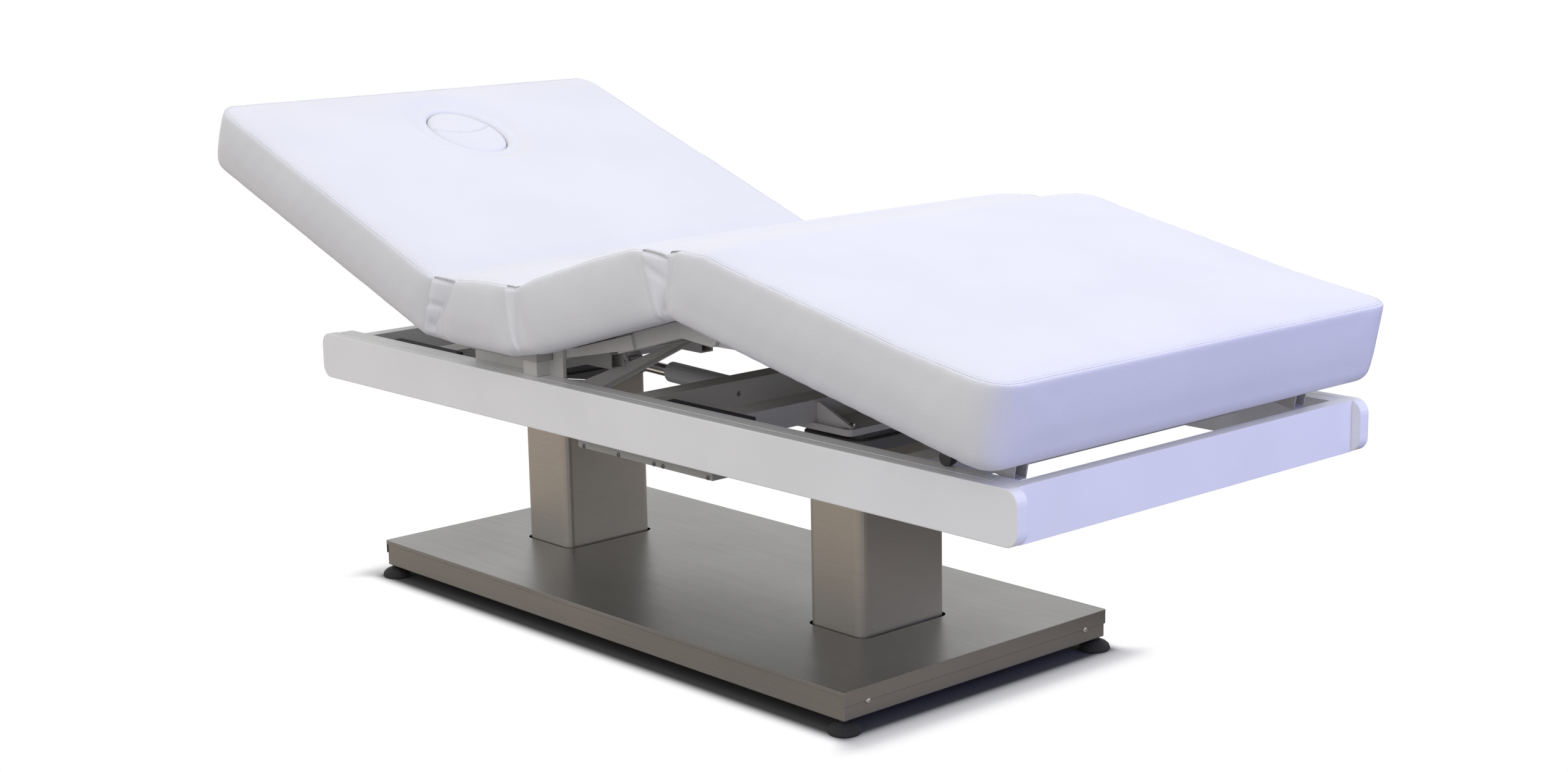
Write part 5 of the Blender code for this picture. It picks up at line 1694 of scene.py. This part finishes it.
@dataclass
class Studio:
    """Camera, floor, lamps and background."""

    eye: Point = (2.8304, -2.4588, 1.1546)
    yaw: float = 138.00
    pitch: float = 11.66
    roll: float = -1.03
    focal_pixels: float = 3902.05
    image_width: float = 2540.0
    sensor: float = 36.0
    ambient: float = 0.87
    ambient_colour: Colour = (1.0, 0.99, 0.99)
    floor_half: float = 14.0
    floor_tone: Colour = (0.35, 0.35, 0.36)
    base_half: tuple[float, float] = (0.574, 0.278)
    # The floor's colour darkens towards the base, reaching further on the foot side: a painted shadow under
    # the real one.
    shadow_reach: tuple[float, float] = (0.036, 0.085)
    shadow_turn: float = 0.05
    shadow_tones: tuple[float, float] = (0.12, 0.92)
    # Tones that reflections see on the floor, graded along x + y: painted reflections, light towards the head
    # and near side and dark towards the foot and far side.
    painted_reflection_tones: tuple[Colour, Colour, Colour] = ((0.75, 0.65, 0.55), (0.50, 0.44, 0.39), (0.02, 0.02, 0.018))
    painted_reflection_bands: tuple[tuple[float, float], tuple[float, float]] = ((-2.4, -0.2), (0.7, 1.5))
    lamps: tuple[Lamp, ...] = (
        Lamp("foot_lamp", (4.2, 0.8, 1.7), (0.3, 0.0, 0.5), 2.4, 52.0, (0.12, 0.18, 1.0)),
        Lamp("near_lamp", (0.4, -4.2, 1.7), (0.1, 0.0, 0.5), 3.0, 5.0, (1.0, 0.97, 0.90)),
        Lamp("top_lamp", (0.2, 0.1, 3.0), (0.1, 0.0, 0.5), 1.6, 15.0, (0.68, 0.74, 1.0)))

    def build(self) -> None:
        """Make the whole studio."""
        self.make_camera()
        self.make_world()
        self.make_floor()
        for lamp in self.lamps:
            lamp.hang()
        log.info("studio: camera, floor and lamps")

    def make_camera(self) -> None:
        """Stand the camera where the photograph was taken."""
        data = bpy.data.cameras.new("camera")
        data.sensor_width = self.sensor
        data.lens = self.focal_pixels / self.image_width * self.sensor
        data.clip_end = 100.0
        camera = linked("camera", data)
        yaw, pitch, roll = (math.radians(angle) for angle in (self.yaw, self.pitch, self.roll))
        ahead = Vector((math.cos(pitch) * math.cos(yaw), math.cos(pitch) * math.sin(yaw), -math.sin(pitch)))
        right = Vector((math.sin(yaw), -math.cos(yaw), 0.0))
        up = right.cross(ahead)
        turned_right = right * math.cos(roll) + up * math.sin(roll)
        turned_up = up * math.cos(roll) - right * math.sin(roll)
        matrix = Matrix((turned_right, turned_up, -ahead)).transposed().to_4x4()
        matrix.translation = Vector(self.eye)
        camera.matrix_world = matrix
        bpy.context.scene.camera = camera

    def make_world(self) -> None:
        """Make a white background with a dim, even ambient light."""
        world = bpy.data.worlds.new("studio_world")
        bpy.context.scene.world = world
        world.use_nodes = True
        recipe = Recipe(world.node_tree)
        seen = self._seen(recipe)
        dim = recipe.node("ShaderNodeBackground", {}, {
            "Color": self.ambient_colour, "Strength": self.ambient})
        white = recipe.node("ShaderNodeBackground", {}, {"Color": (1.0, 1.0, 1.0), "Strength": 1.0})
        mixed = recipe.node("ShaderNodeMixShader", {}, {0: seen, 1: dim, 2: white})
        recipe.end("ShaderNodeOutputWorld", mixed)

    @staticmethod
    def _seen(recipe: Recipe) -> Signal:
        """Return 1 for camera, glossy and transmission rays."""
        camera = recipe.node("ShaderNodeLightPath", output="Is Camera Ray")
        glossy = recipe.node("ShaderNodeLightPath", output="Is Glossy Ray")
        passing = recipe.node("ShaderNodeLightPath", output="Is Transmission Ray")
        return camera.larger(glossy).larger(passing)

    def make_floor(self) -> None:
        """Lay a white floor with the base's real shadow over a painted shadow, and with painted reflections.
        """
        half = self.floor_half
        corners = [(-half, -half, 0.0), (half, -half, 0.0), (half, half, 0.0), (-half, half, 0.0)]
        mesh = mesh_from("studio_floor", corners, [(0, 1, 2, 3)])
        floor = linked("studio_floor", mesh)
        made = bpy.data.materials.new("studio_floor")
        made.use_nodes = True
        recipe = Recipe(made.node_tree)
        x, y, _ = recipe.split(recipe.place())
        beside_x = ((x - BASE_X).larger(BASE_X - x) - self.base_half[0]).larger(0.0)
        beside_y = (y.larger(0 - y) - self.base_half[1]).larger(0.0)
        away = (beside_x * beside_x + beside_y * beside_y).root()
        # Painted shadow: for the camera, the floor's colour darkens from the light tone to the dark one
        # towards the base.
        near_reach, foot_reach = self.shadow_reach
        reach = beside_x.ramped(0.0, self.shadow_turn) * (foot_reach - near_reach) + near_reach
        clear = (away / reach).ramped(0.0, 1.0)
        camera = recipe.node("ShaderNodeLightPath", output="Is Camera Ray")
        dark, light = ((tone,) * 3 for tone in self.shadow_tones)
        tone = recipe.mixed(camera, self.floor_tone, recipe.mixed(clear, dark, light))
        shade = recipe.node("ShaderNodeBsdfDiffuse", {}, {"Color": tone})
        # Painted reflections: glossy and transmission rays see these graded tones on the floor instead of
        # white, so the metal's faces reflect light or dark.
        near_reflection_tone, foot_reflection_tone, far_reflection_tone = self.painted_reflection_tones
        foot_reflection_band, far_reflection_band = self.painted_reflection_bands
        painted_reflection = recipe.mixed((x + y).ramped(*foot_reflection_band), near_reflection_tone, foot_reflection_tone)
        painted_reflection = recipe.mixed((x + y).ramped(*far_reflection_band), painted_reflection, far_reflection_tone)
        white = recipe.node("ShaderNodeEmission", {}, {
            "Color": recipe.mixed(camera, painted_reflection, (1.0, 1.0, 1.0)), "Strength": 1.0})
        kept = clear * self._seen(recipe)
        mixed = recipe.node("ShaderNodeMixShader", {}, {0: kept, 1: shade, 2: white})
        recipe.end("ShaderNodeOutputMaterial", mixed)
        mesh.materials.append(made)


def main() -> None:
    """Build the dressed table."""
    logging.basicConfig(level=logging.INFO, format="%(message)s")
    bpy.context.scene.view_settings.view_transform = "Standard"
    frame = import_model()
    FrameFinishes(frame).apply()
    Fasteners(frame).build()
    Upholstery().build()
    Studio().build()


if __name__ == "__main__":
    main()
